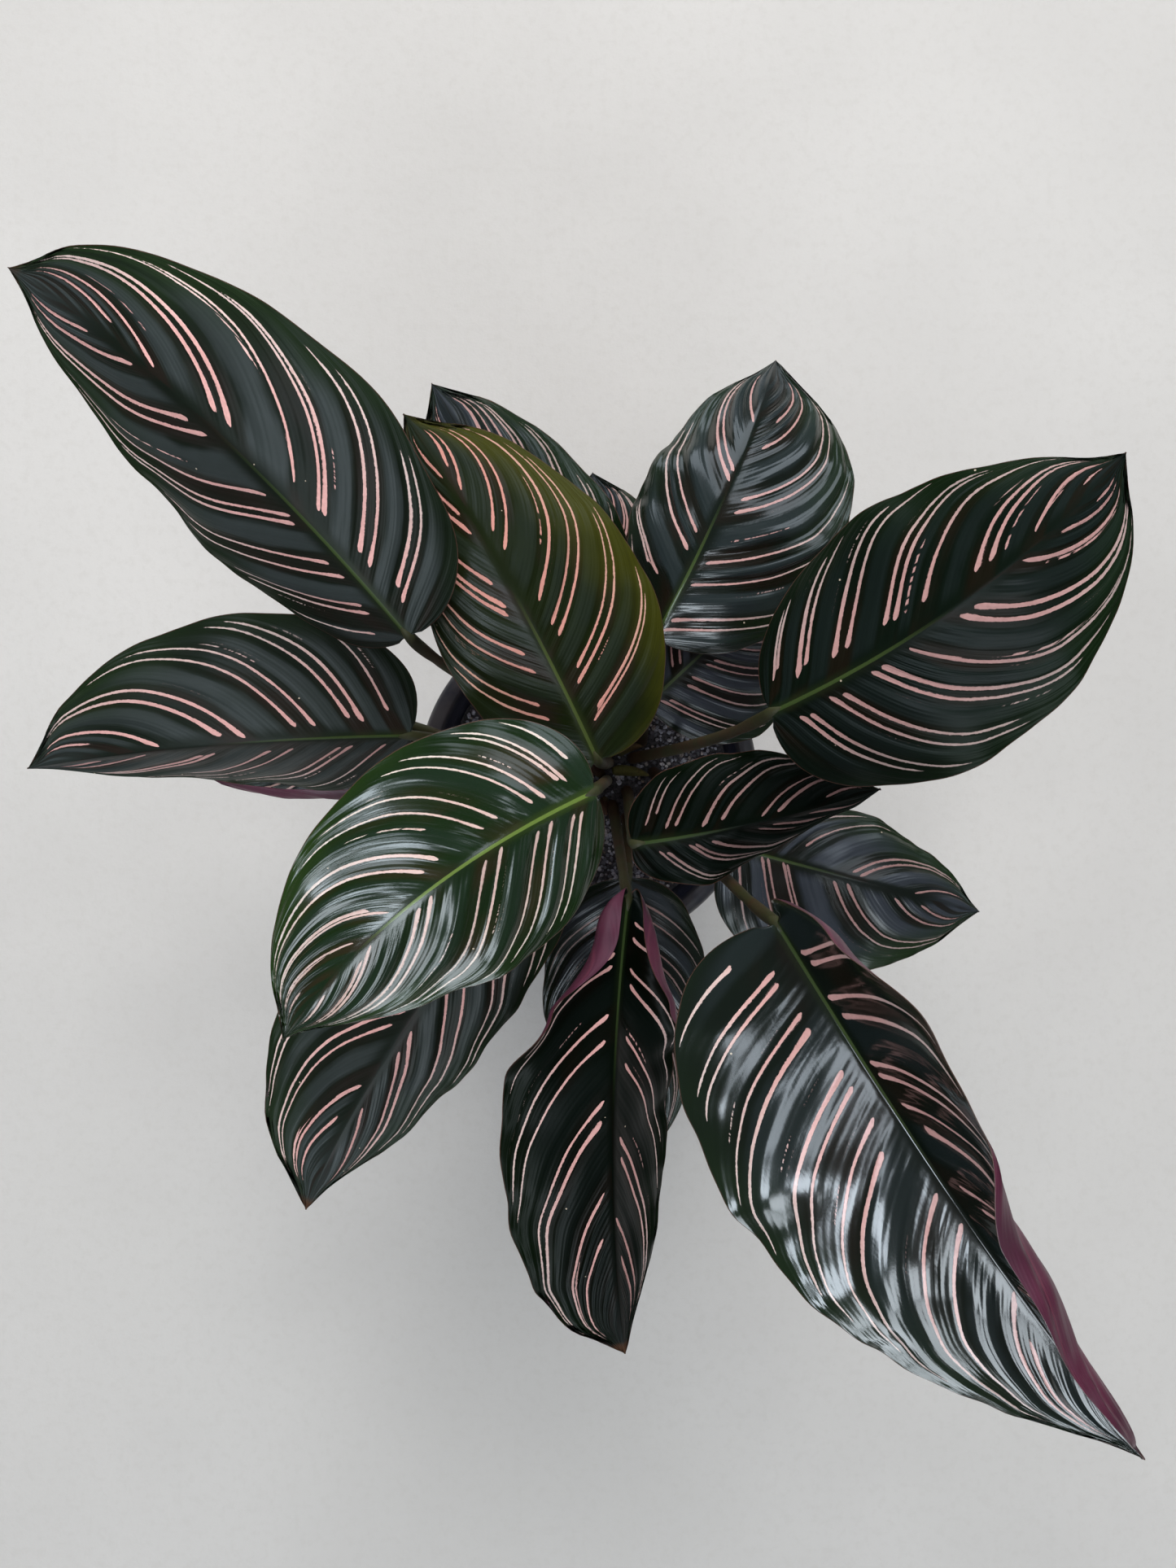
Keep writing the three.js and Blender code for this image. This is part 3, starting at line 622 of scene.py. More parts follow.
def stalk_skin():
    """Olive and brown stalks, dark olive at the joint under the blade and papery brown low down."""
    look = Look("leaf_stalk")
    place = look.place()
    along = look.attribute("along")
    fibres = look.noise(look.stretched(place, 900.0, 900.0, 90.0), 1.0, 3.0, 0.6)
    patches = look.noise(place, 75.0, 3.0, 0.6)
    colour = look.mix(patches.rise(0.35, 0.65), (0.030, 0.031, 0.012), (0.046, 0.027, 0.014))
    colour = look.mix((along + 0.15 * (patches - 0.5)).rise(0.86, 1.0), colour, (0.030, 0.033, 0.012))
    dry = 1.0 - (along + 0.5 * (patches - 0.5)).rise(0.08, 0.35)
    colour = look.mix(dry * 0.8, colour, (0.075, 0.035, 0.015))
    colour = look.mix(fibres.rise(0.45, 0.75) * 0.4, colour, (0.035, 0.022, 0.010))
    height = fibres * 0.09 + look.noise(place, 500.0, 2.0) * 0.03
    return look.finish({
        "Base Color": colour,
        "Roughness": 0.62 + 0.25 * (patches - 0.5),
        "Specular IOR Level": 0.25,
        "Normal": look.bump(height, MM),
    })


def dry_sheath():
    """Papery sheaths: yellow-green when young, brown when old."""
    look = Look("old_sheath")
    place = look.place()
    fibres = look.noise(look.stretched(place, 1100.0, 1100.0, 160.0), 1.0, 3.0, 0.6)
    patches = look.noise(place, 160.0, 3.0, 0.6)
    age = (look.attribute("tone") + 0.5 * (patches - 0.5)).rise(0.2, 0.7)
    colour = look.mix(age, (0.130, 0.125, 0.035), (0.085, 0.040, 0.022))
    colour = look.mix(fibres.rise(0.45, 0.75) * 0.5, colour, (0.040, 0.022, 0.012))
    return look.finish({
        "Base Color": colour,
        "Roughness": 0.60 + 0.25 * (patches - 0.5),
        "Normal": look.bump(fibres * 0.12 + patches * 0.1, MM),
    })


def pot_plastic():
    """Dark moulded plastic, a little scuffed and dusty on the lip."""
    look = Look("pot_plastic")
    place = look.place()
    clouds = look.noise(place, 40.0, 4.0, 0.6)
    grain = look.noise(place, 1500.0, 2.0)
    scuffs = look.noise(look.stretched(place, 160.0, 160.0, 1400.0), 1.0, 4.0, 0.7).rise(0.60, 0.74)
    height = look.add("ShaderNodeSeparateXYZ", None, [place], output=2)
    high = height.rise(0.126, 0.140)
    colour = look.mix(clouds.rise(0.3, 0.7), (0.008, 0.010, 0.021), (0.013, 0.015, 0.029))
    colour = look.mix(scuffs * (0.10 + 0.35 * high), colour, (0.075, 0.078, 0.092))
    dust = (clouds + 0.4 * high).rise(0.62, 1.0) * 0.5
    colour = look.mix(dust, colour, (0.085, 0.078, 0.072))
    return look.finish({
        "Base Color": colour,
        "Roughness": 0.40 + 0.20 * (clouds - 0.5) + scuffs * 0.12,
        "Normal": look.bump(grain * 0.02 + scuffs * 0.02, MM),
    })


def pumice():
    """Grey and brown grains of the growing medium."""
    look = Look("medium_grains")
    place = look.place()
    tone = look.attribute("tone")
    pits = look.noise(place, 900.0, 4.0, 0.7)
    # The grains' tones are partly the stone's own grey and partly painted light: paler and bluer than
    # the stone, standing in for cool light reaching the medium
    stops = [
        (0.0, (0.110, 0.112, 0.130)),
        (0.35, (0.260, 0.270, 0.320)),
        (0.7, (0.600, 0.620, 0.720)),
        (0.86, (0.300, 0.230, 0.170)),
        (1.0, (0.85, 0.85, 0.90)),
    ]
    colour = look.add("ShaderNodeValToRGB", {"stops": stops}, [tone])
    colour = look.mix(pits.rise(0.42, 0.62) * 0.55, colour, (0.018, 0.017, 0.018))
    return look.finish({
        "Base Color": colour,
        "Roughness": 0.85 + 0.2 * (pits - 0.5),
        "Normal": look.bump(pits * 0.35, MM),
    })


def fine_soil():
    """The dark crumbs between the grains."""
    look = Look("medium_crumbs")
    place = look.place()
    crumbs = look.noise(place, 650.0, 5.0, 0.75)
    lumps = look.add("ShaderNodeTexVoronoi", None, {"Vector": place, "Scale": 420.0})
    colour = look.mix(crumbs.rise(0.35, 0.65), (0.016, 0.015, 0.016), (0.085, 0.084, 0.092))
    return look.finish({
        "Base Color": colour,
        "Roughness": 0.92 + 0.1 * (crumbs - 0.5),
        "Normal": look.bump(crumbs * 0.8 - lumps * 0.8, MM),
    })


def pale_floor():
    """Pale, faintly clouded and gritty."""
    look = Look("pale_floor")
    place = look.place()
    clouds = look.noise(place, 3.0, 4.0, 0.6)
    grit = look.noise(place, 160.0, 4.0, 0.7)
    colour = look.mix(clouds.rise(0.3, 0.7), (0.55, 0.54, 0.53), (0.60, 0.59, 0.58))
    colour = look.mix(grit.rise(0.45, 0.7) * 0.25, colour, (0.50, 0.485, 0.465))
    return look.finish({
        "Base Color": colour,
        "Roughness": 0.8 + 0.1 * (grit - 0.5),
        "Normal": look.bump(grit, 0.3 * MM),
    })


# Meshes and objects


def new_mesh(name, points, faces, *materials):
    """A mesh from points in millimetres."""
    mesh = bpy.data.meshes.new(name)
    mesh.from_pydata((np.array(points, float) * MM).tolist(), [], faces)
    for material in materials:
        mesh.materials.append(material)
    return mesh


def new_object(name, data):
    made = bpy.data.objects.new(name, data)
    bpy.context.scene.collection.objects.link(made)
    return made


def piece(name, mesh, slot, *nodes):
    """A finished piece of the plant, in place of the part's nodes where it has any."""
    made = new_object(name, mesh)
    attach(made, "root")
    if nodes:
        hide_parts(*nodes)


def give_values(mesh, name, values):
    layer = mesh.attributes.new(name, "FLOAT", "POINT")
    layer.data.foreach_set("value", np.asarray(values, np.float32))


def smooth(mesh):
    mesh.polygons.foreach_set("use_smooth", [True] * len(mesh.polygons))


def evaluated_mesh(made):
    """The object's mesh with its modifiers applied."""
    bpy.context.view_layer.update()
    graph = bpy.context.evaluated_depsgraph_get()
    seen = made.evaluated_get(graph)
    return bpy.data.meshes.new_from_object(seen, preserve_all_data_layers=True, depsgraph=graph)


def sheet_faces(first, rows, columns):
    """The faces of a thin sheet: a grid of points, the same grid again turned over, and its rim."""
    count = rows * columns
    index = first + np.arange(count).reshape(rows, columns)
    quads = np.stack([index[:-1, :-1], index[1:, :-1], index[1:, 1:], index[:-1, 1:]], -1)
    quads = quads.reshape(-1, 4)
    turned = quads[:, [0, 3, 2, 1]] + count
    edge = np.concatenate([index[:, 0], index[-1, 1:], index[-2::-1, -1], index[0, -2:0:-1]])
    edge = edge.tolist()
    rim = [(a, a + count, b + count, b) for a, b in zip(edge, edge[1:] + edge[:1])]
    return quads.tolist(), turned.tolist(), rim


def ring_angles(count, start=0.0):
    return [TURN * (k + start) / count for k in range(count)]


# Leaf shapes


def ease(x):
    t = np.clip(x, 0.0, 1.0)
    return t * t * (3 - 2 * t)


def bell(x, middle, spread):
    return np.exp(-(((x - middle) / spread) ** 2))


def along_values(values, s):
    """A value at s from values at even steps between the base and the tip."""
    spans = len(values) - 1
    i = np.minimum((s * spans).astype(int), spans - 1)
    given = np.array(values, float)
    return given[i] + (given[i + 1] - given[i]) * ease(s * spans - i)


def outline(s, at_tip):
    """The half width at s, as a part of the greatest one."""
    widest = SHAPE_AT_BASE / (SHAPE_AT_BASE + at_tip)
    base = (s / widest) ** SHAPE_AT_BASE
    tip = ((1 - s) / (1 - widest)) ** at_tip
    return base * tip * (1 - TIP_PINCH * ease((s - TIP_PINCH_START) / (1 - TIP_PINCH_START)))


def unit(vectors):
    return vectors / np.linalg.norm(vectors, axis=-1, keepdims=True)


UP = np.array([0.0, 0.0, 1.0])


def midrib_frame(leaf, s):
    """The midrib's points and directions at each s, and the blade's side and normal there."""
    base = np.array(leaf["base"], float)
    chord = np.array(leaf["tip"], float) - base
    left = unit(np.cross(UP, chord))
    hump = UP * leaf["arch"] + left * leaf["bow"]
    t = s[..., None]
    point = base + chord * t + hump * (4 * t * (1 - t))
    tangent = unit(chord + hump * (4 * (1 - 2 * t)))
    level = unit(np.cross(UP, tangent))
    above = np.cross(tangent, level)
    start, end = leaf["roll"]
    roll = np.radians(start + (end - start) * t)
    side = level * np.cos(roll) + above * np.sin(roll)
    normal = np.cross(tangent, side)
    return point, tangent, side, normal


def half_blade(leaf, s, v, sign):
    """The points of one half's upper face at places s along it and v across it, and its width."""
    point, tangent, side, normal = midrib_frame(leaf, s)
    part = leaf["left"] if sign > 0 else leaf["right"]
    shape = outline(s, leaf.get("tip_shape", SHAPE_AT_TIP))
    start, reach, much = TIP_NARROWS
    shape = shape * (1 - much * ease((s - start) / reach))
    start, much = TIP_CLOSES
    shape = shape * (1 - much * ease((s - start) / (BLADE_END - start)) ** 2)
    height, count, phase = leaf["wave"]
    shift = SIDE_WAVE_SHIFT if sign < 0 else 0.0
    turn = TURN * (count * s + phase + shift)
    quick = np.sin(TURN * (QUICK_WAVES[0] * s + 3 * phase + shift))
    quick = quick * np.sin(TURN * (QUICK_WAVES[1] * s + 5 * phase + shift))
    quick = quick * leaf.get("ruffle", CALM_MARGIN)
    calm_ends = np.sqrt(shape) * ease(s / 0.1) * ease((1 - s) / 0.15)
    width = part["width"] * shape + (RIPPLE * height * np.cos(1.3 * turn) + 0.5 * quick) * calm_ends
    fold = along_values(part["fold"], s)[..., None]
    curl = along_values(part["curl"], s)[..., None]
    steps = np.arange(SECTION_STEPS)
    slope = np.radians(fold + np.minimum(curl * ((steps + 0.5) / SECTION_STEPS) ** 3, MOST_CURL))
    passed = np.clip(v[None, :, None] * SECTION_STEPS - steps, 0, 1) / SECTION_STEPS
    level = (np.cos(slope) * passed).sum(-1) * width
    rise = (np.sin(slope) * passed).sum(-1) * width
    length = np.linalg.norm(np.array(leaf["tip"], float) - np.array(leaf["base"], float))
    lobe = length * leaf["lobe"] * np.sqrt(s) * (1 - s) ** 5 * v**2
    wave = height * np.sin(turn) * np.sqrt(shape) * v**2 + quick * calm_ends * v**4
    grid = point + side * (sign * level)[..., None] + normal * (rise + wave)[..., None]
    return grid - tangent * lobe[..., None], width


def half_surface(leaf, s, v, sign):
    """One half's points, its width, its exact slopes along and across, and its upward normals."""
    grid, width = half_blade(leaf, s, v, sign)
    little = 1e-4
    along = half_blade(leaf, s + little, v, sign)[0] - half_blade(leaf, s - little, v, sign)[0]
    low = np.maximum(v - 0.5 / SECTION_STEPS, 0)
    high = np.minimum(v + 0.5 / SECTION_STEPS, 1)
    across = half_blade(leaf, s, high, sign)[0] - half_blade(leaf, s, low, sign)[0]
    along = along / (2 * little)
    across = across / (high - low)[None, :, None]
    return grid, width, along, across, unit(np.cross(along, across)) * sign


def vein_lead(name, sign):
    """How far forward the side veins of one half run."""
    return VEIN_LEAD.get(name, PLAIN_LEAD)[0 if sign > 0 else 1]


def vein_run(v):
    """How far a side vein has bent forward at v, in steps of its own rate."""
    return -np.log(1 - v / VEIN_MEETS)


def vein_origin(s, v, lead):
    """Where the side vein through a point of the blade leaves the midrib."""
    run = lead * vein_run(v)
    return (s - VEIN_SWEEP[0] * run) / (1 + VEIN_SWEEP[1] * run)


def seeded_lines(seed):
    """Pairs of painted lines for a leaf that is mostly out of sight."""
    random = np.random.default_rng(seed)
    lines = []
    s = random.uniform(0.05, 0.08)
    while s < 0.8:
        lines.append((s, random.uniform(0.08, 0.2)))
        lines.append((s + random.uniform(0.032, 0.045), random.uniform(0.08, 0.22)))
        s += random.uniform(0.115, 0.14)
    return lines


def smooth_through(knots, values, x):
    """A smooth rising curve through the knots, straight beyond the first and the last."""
    gaps = np.diff(knots)
    secants = np.diff(values) / gaps
    slopes = np.empty(len(knots))
    slopes[1:-1] = 2 / (1 / secants[:-1] + 1 / secants[1:])
    slopes[0], slopes[-1] = secants[0], secants[-1]
    i = np.clip(np.searchsorted(knots, x) - 1, 0, len(gaps) - 1)
    t = (x - knots[i]) / gaps[i]
    u = np.clip(t, 0, 1)
    first, last = slopes[i] * gaps[i], slopes[i + 1] * gaps[i]
    curve = values[i] + (values[i + 1] - values[i]) * u * u * (3 - 2 * u)
    curve = curve + first * u * (1 - u) ** 2 - last * u * u * (1 - u)
    return curve + np.minimum(t, 0) * first + np.maximum(t - 1, 0) * last


def painted_fields(name, origin, sign, seed):
    """What the look of the painted lines reads on one half, by where each vein leaves the midrib."""
    given = LINES[name][0 if sign > 0 else 1] if name in LINES else seeded_lines(seed)
    lead = vein_lead(name, sign)
    starts = np.array([(line[0], line[1]) for line in given])
    weights = np.array([line[2] if len(line) > 2 else 1.0 for line in given])
    origins = vein_origin(starts[:, 0], starts[:, 1], lead)
    order = np.argsort(origins)
    origins, weights, outwards = origins[order], weights[order], starts[order, 1]
    run_to_tip = (LAST_PAINT - origins) / (lead * (VEIN_SWEEP[0] + VEIN_SWEEP[1] * origins))
    random = np.random.default_rng(seed + 90)
    ends = np.minimum(random.uniform(0.90, 0.97, len(order)), VEIN_MEETS * (1 - np.exp(-run_to_tip)))
    ends = np.maximum(np.where(weights < 1, outwards + 0.35, ends), outwards + 0.1)
    steps = np.arange(len(order)) + 0.5
    line = smooth_through(origins, steps, origin)

    strong = origins[weights == 1]
    groups = np.split(strong, np.flatnonzero(np.diff(strong) > PAIR_GAP) + 1)
    middles = np.array([group.mean() for group in groups])
    vein = smooth_through(middles, np.arange(len(middles)) + 0.5, origin)
    return {
        "line": line,
        "vein": vein,
        "starts": np.interp(line, steps, outwards),
        "ends": np.interp(line, steps, ends),
        "weight": np.interp(line, steps, weights),
        "lines": np.full(line.shape, float(len(order))),
    }


def painted_half(name, surface, origin, columns, sign, seed):
    """The painted lines' fields on one half, with the real distance between lines at each point."""
    _, _, along, across, _ = surface
    lead = vein_lead(name, sign)
    shape = along.shape[:2]
    fields = painted_fields(name, np.broadcast_to(origin, shape), sign, seed)
    run = lead * vein_run(columns)
    bend = lead * (VEIN_SWEEP[0] + VEIN_SWEEP[1] * origin) / (VEIN_MEETS - columns)
    area = np.linalg.norm(np.cross(along, across), axis=-1)
    vein_length = np.linalg.norm(across + along * bend[..., None], axis=-1)
    apart = area * (1 + VEIN_SWEEP[1] * run) / np.maximum(vein_length, 1e-6)
    per_line = np.gradient(fields["line"], origin[:, 0], axis=0)
    fields["grade"] = apart / np.maximum(per_line, 1e-6)
    return fields


def relief(name, s, v, vein, mm_from_rib, seed):
    """How far the upper face rises: quilting between the veins, soft swells and the midrib's groove."""
    away = np.abs(v)
    random = np.random.default_rng(seed + 500)
    pairs = np.arange(VEIN_PAIRS) + FIRST_PAIR
    tall = np.interp(vein, pairs, random.uniform(0.5, 1.3, VEIN_PAIRS))
    halves = np.arange(2 * VEIN_PAIRS) + 2 * FIRST_PAIR
    small = np.interp(vein * 2, halves, random.uniform(0.3, 1.2, 2 * VEIN_PAIRS))
    quilt = tall * np.cos(TURN * vein) + 0.62 * small * np.cos(2 * TURN * vein + 0.8)
    quilt = quilt * ease((away - 0.02) / 0.30) * (1 - 0.75 * ease((away - 0.75) / 0.25))
    quilt = quilt * ease(s / 0.12) * ease((1 - s) / 0.2) * QUILT_HEIGHT * QUILTED.get(name, PLAIN_QUILT)
    phases = random.uniform(0, TURN, 4)
    swell = np.sin(TURN * (2.3 * s + 0.5 * v) + phases[0])
    swell = swell + np.sin(TURN * (1.1 * s - 0.9 * v) + phases[1])
    swell = SWELL_HEIGHT * swell * ease(away / 0.5) * ease((1 - s) / 0.2) * ease(s / 0.1)
    groove = -0.16 * bell(mm_from_rib, 0.0, 0.7) + 0.08 * bell(mm_from_rib, 2.0, 1.2)
    return quilt + swell + groove * ease((1 - s) / 0.25)


def leaf_blade(name, leaf, seed):
    """The upper and lower grids of one blade, with what its looks read at each point."""
    hidden = name in HIDDEN_LEAVES
    rows = HIDDEN_ROWS if hidden else BLADE_ROWS
    half_columns = HIDDEN_COLUMNS if hidden else HALF_COLUMNS
    steps = np.linspace(0, 1, rows)
    first = min(vein_origin(0.0, 1.0, vein_lead(name, sign)) for sign in (-1, 1))
    origin = (first + (1 - first) * (0.35 * steps + 0.65 * steps**2))[:, None]
    columns = 1 - (1 - np.linspace(0, 1, half_columns) ** 1.25) ** 1.6
    apart = 1e-4 * np.arange(rows)[:, None]

    def swept(sign):
        run = vein_lead(name, sign) * (VEIN_SWEEP[0] + VEIN_SWEEP[1] * origin) * vein_run(columns)
        return np.clip(origin + run, BLADE_START + apart, BLADE_END - apart[::-1])

    right = half_surface(leaf, swept(-1), columns, -1)
    left = half_surface(leaf, swept(1), columns, 1)
    left[4][:, 0] = unit(right[4][:, 0] + left[4][:, 0])
    rights = painted_half(name, right, origin, columns, -1, seed * 2)
    lefts = painted_half(name, left, origin, columns, 1, seed * 2 + 1)

    def joined(right_part, left_part):
        return np.concatenate([right_part[:, :0:-1], left_part], 1)

    grid = joined(right[0], left[0])
    width = joined(right[1], left[1])
    normal = joined(right[4], left[4])
    paint = {key: joined(rights[key], lefts[key]) for key in lefts}
    s = joined(swept(-1), swept(1))
    v = np.concatenate([-columns[:0:-1], columns])[None, :]
    away = np.abs(v)
    mm_from_rib = away * width
    upper = grid + normal * relief(name, s, v, paint["vein"], mm_from_rib, seed)[..., None]
    rib = (RIB_DEPTH * (1 - 0.75 * s) - BLADE_THICKNESS) * bell(mm_from_rib, 0.0, 1.5)
    thin = BLADE_THICKNESS * (0.55 + 0.45 * ease((1 - away) / 0.12))
    lower = upper - normal * (thin + rib)[..., None]
    shape = grid.shape[:2]
    fields = {
        "along": s,
        "across": np.broadcast_to(v, shape),
        "line": paint["line"],
        "vein": paint["vein"],
        "grade": paint["grade"],
        "begun": (away - paint["starts"]) * width,
        "remaining": (paint["ends"] - away) * width,
        "weight": paint["weight"],
        "lines": paint["lines"],
        "reach": mm_from_rib,
        "margin": (1 - away) * width,
        "side": np.broadcast_to(np.where(v >= 0, 1.0, 0.0) + seed * 7.0, shape),
        "dry": np.full(shape, DRY_TIPS.get(name, 0.0)),
        "bloom": np.full(shape, BLOOM_AND_SHEEN.get(name, PLAIN_BLOOM_AND_SHEEN)),
        "bold": np.full(shape, BOLD.get(name, PLAIN_BOLD)),
        "lit": np.full(shape, LIT.get(name, PLAIN_LIT)),
    }
    return upper, lower, fields


def stalk_path(leaf):
    """The stalk's middle line from inside the medium to the blade, and how far along each point is."""
    foot = np.array([*leaf["foot"], SOIL_TOP], float)
    base = np.array(leaf["base"], float)
    handle = np.array(leaf["handle"], float)
    straight = foot + UP * (base[2] - SOIL_TOP) / 4
    t = np.linspace(0, 1, STALK_RINGS)[:, None]
    curve = foot * (1 - t) ** 3 + 3 * straight * t * (1 - t) ** 2
    curve = curve + 3 * handle * t**2 * (1 - t) + base * t**3
    _, tangent, _, normal = midrib_frame(leaf, np.array([BLADE_START]))
    curve = curve - normal * (0.5 * RIB_DEPTH * t**4)
    below = foot - UP * STALK_DEPTH
    end = base + tangent[0] * 5 - normal[0] * 0.5 * RIB_DEPTH
    line = np.concatenate([below[None, :], curve, end[None, :]])
    return line, np.concatenate([[0.0], t[:, 0], [1.0]])


def tube(line, radii, sides):
    """A closed round tube: points and faces."""
    tangent = unit(np.gradient(line, axis=0))
    across = np.array([1.0, 0.0, 0.0])
    rings = []
    angles = TURN * np.arange(sides) / sides
    for point, direction, radius in zip(line, tangent, radii):
        across = unit(across - direction * across.dot(direction))
        other = np.cross(direction, across)
        circle = np.cos(angles)[:, None] * across + np.sin(angles)[:, None] * other
        rings.append(point + circle * radius)
    points = np.concatenate(rings)
    faces = []
    for i in range(len(line) - 1):
        for k in range(sides):
            n = (k + 1) % sides
            faces.append((i * sides + k, i * sides + n, (i + 1) * sides + n, (i + 1) * sides + k))
    faces.append(tuple(range(sides - 1, -1, -1)))
    top = (len(line) - 1) * sides
    faces.append(tuple(range(top, top + sides)))
    return points, faces


def leaf_mesh(name, leaf, seed, looks):
    """One leaf, its blade and its stalk. looks: the upper face, the underside and the stalk."""
    upper, lower, fields = leaf_blade(name, leaf, seed)
    tops, unders, rim = sheet_faces(0, *upper.shape[:2])
    points = np.concatenate([upper.reshape(-1, 3), lower.reshape(-1, 3)])
    over = np.maximum(points[:, 2] - (HIGHEST - HEADROOM), 0)
    points[:, 2] += HEADROOM * (1 - np.exp(-over / HEADROOM)) - over

    line, t = stalk_path(leaf)
    swelling = JOINT_SWELLING * bell(t, 0.92, 0.08) - JOINT_NECK * bell(t, 0.82, 0.02)
    radii = STALK_FOOT_RADIUS + (STALK_TOP_RADIUS - STALK_FOOT_RADIUS) * t + swelling
    radii[-1] = STALK_TOP_RADIUS / 2
    stalk_points, stalk_faces = tube(line, radii, STALK_SIDES)
    stalk_faces = [tuple(i + len(points) for i in face) for face in stalk_faces]

    points = np.concatenate([points, stalk_points])
    mesh = new_mesh(name + "_dressed", points, tops + unders + rim + stalk_faces, *looks)
    for key, field in fields.items():
        on_stalk = np.repeat(t, STALK_SIDES) if key == "along" else np.zeros(len(stalk_points))
        give_values(mesh, key, np.concatenate([np.tile(field.reshape(-1), 2), on_stalk]))
    kinds = [0] * len(tops) + [1] * len(unders) + [0] * len(rim) + [2] * len(stalk_faces)
    mesh.polygons.foreach_set("material_index", kinds)
    smooth(mesh)
    mesh.update()
    return mesh


def sheath_mesh(material):
    """Old pointed leaf sheaths that stand round the feet of the stalks."""
    points = []
    faces = []
    tones = []
    for *ends, half_width, dry in SHEATHS:
        start, middle, end = np.array(ends, float)
        across = unit(np.cross(end - start, UP))
        outer = unit(np.cross(across, end - start))
        first = len(points)
        for lift in (0.0, SHEATH_THICKNESS):
            for i in range(SHEATH_ROWS + 1):
                t = i / SHEATH_ROWS
                spine = start * (1 - t) ** 2 + 2 * middle * t * (1 - t) + end * t * t
                wide = half_width * (1 - t**2.2) ** 0.8 + 0.15
                for k in range(-SHEATH_COLUMNS, SHEATH_COLUMNS + 1):
                    u = k / SHEATH_COLUMNS
                    hollow = 0.75 * wide * (u * u) + 0.25 * math.sin(9 * t + 5 * u)
                    points.append(spine + across * (u * wide) - outer * hollow + outer * lift)
                    tones.append(0.1 + 0.9 * dry * (0.4 + 0.6 * t))
        for some in sheet_faces(first, SHEATH_ROWS + 1, 2 * SHEATH_COLUMNS + 1):
            faces += some
    mesh = new_mesh("crown_sheaths", points, faces, material)
    give_values(mesh, "tone", tones)
    smooth(mesh)
    fix = bmesh.new()
    fix.from_mesh(mesh)
    bmesh.ops.recalc_face_normals(fix, faces=fix.faces[:])
    fix.to_mesh(mesh)
    fix.free()
    return mesh


# Pot

POT_FACETS = 144
POT_SHARP_EDGE = 40  # degrees
BORE_FACETS = 32
BORE_DEPTH = 8


def lathe(profile, sides):
    """A closed round piece from a profile of radius and height that starts and ends on the axis."""
    points = []
    faces = []
    starts = []
    for r, z in profile:
        starts.append(len(points))
        angles = ring_angles(sides) if r > 0 else [0.0]
        points += [(r * math.cos(angle), r * math.sin(angle), z) for angle in angles]
    for i in range(len(profile) - 1):
        for k in range(sides):
            n = (k + 1) % sides
            a, b = starts[i], starts[i + 1]
            if profile[i][0] == 0:
                faces.append((a, b + n, b + k))
            elif profile[i + 1][0] == 0:
                faces.append((a + k, a + n, b))
            else:
                faces.append((a + k, a + n, b + n, b + k))
    return points, faces


def wall_radius(z):
    """The radius of the pot's plain outer wall at a height."""
    return BASE_RADIUS + (SHOULDER_RADIUS - BASE_RADIUS) * z / SHOULDER_HEIGHT


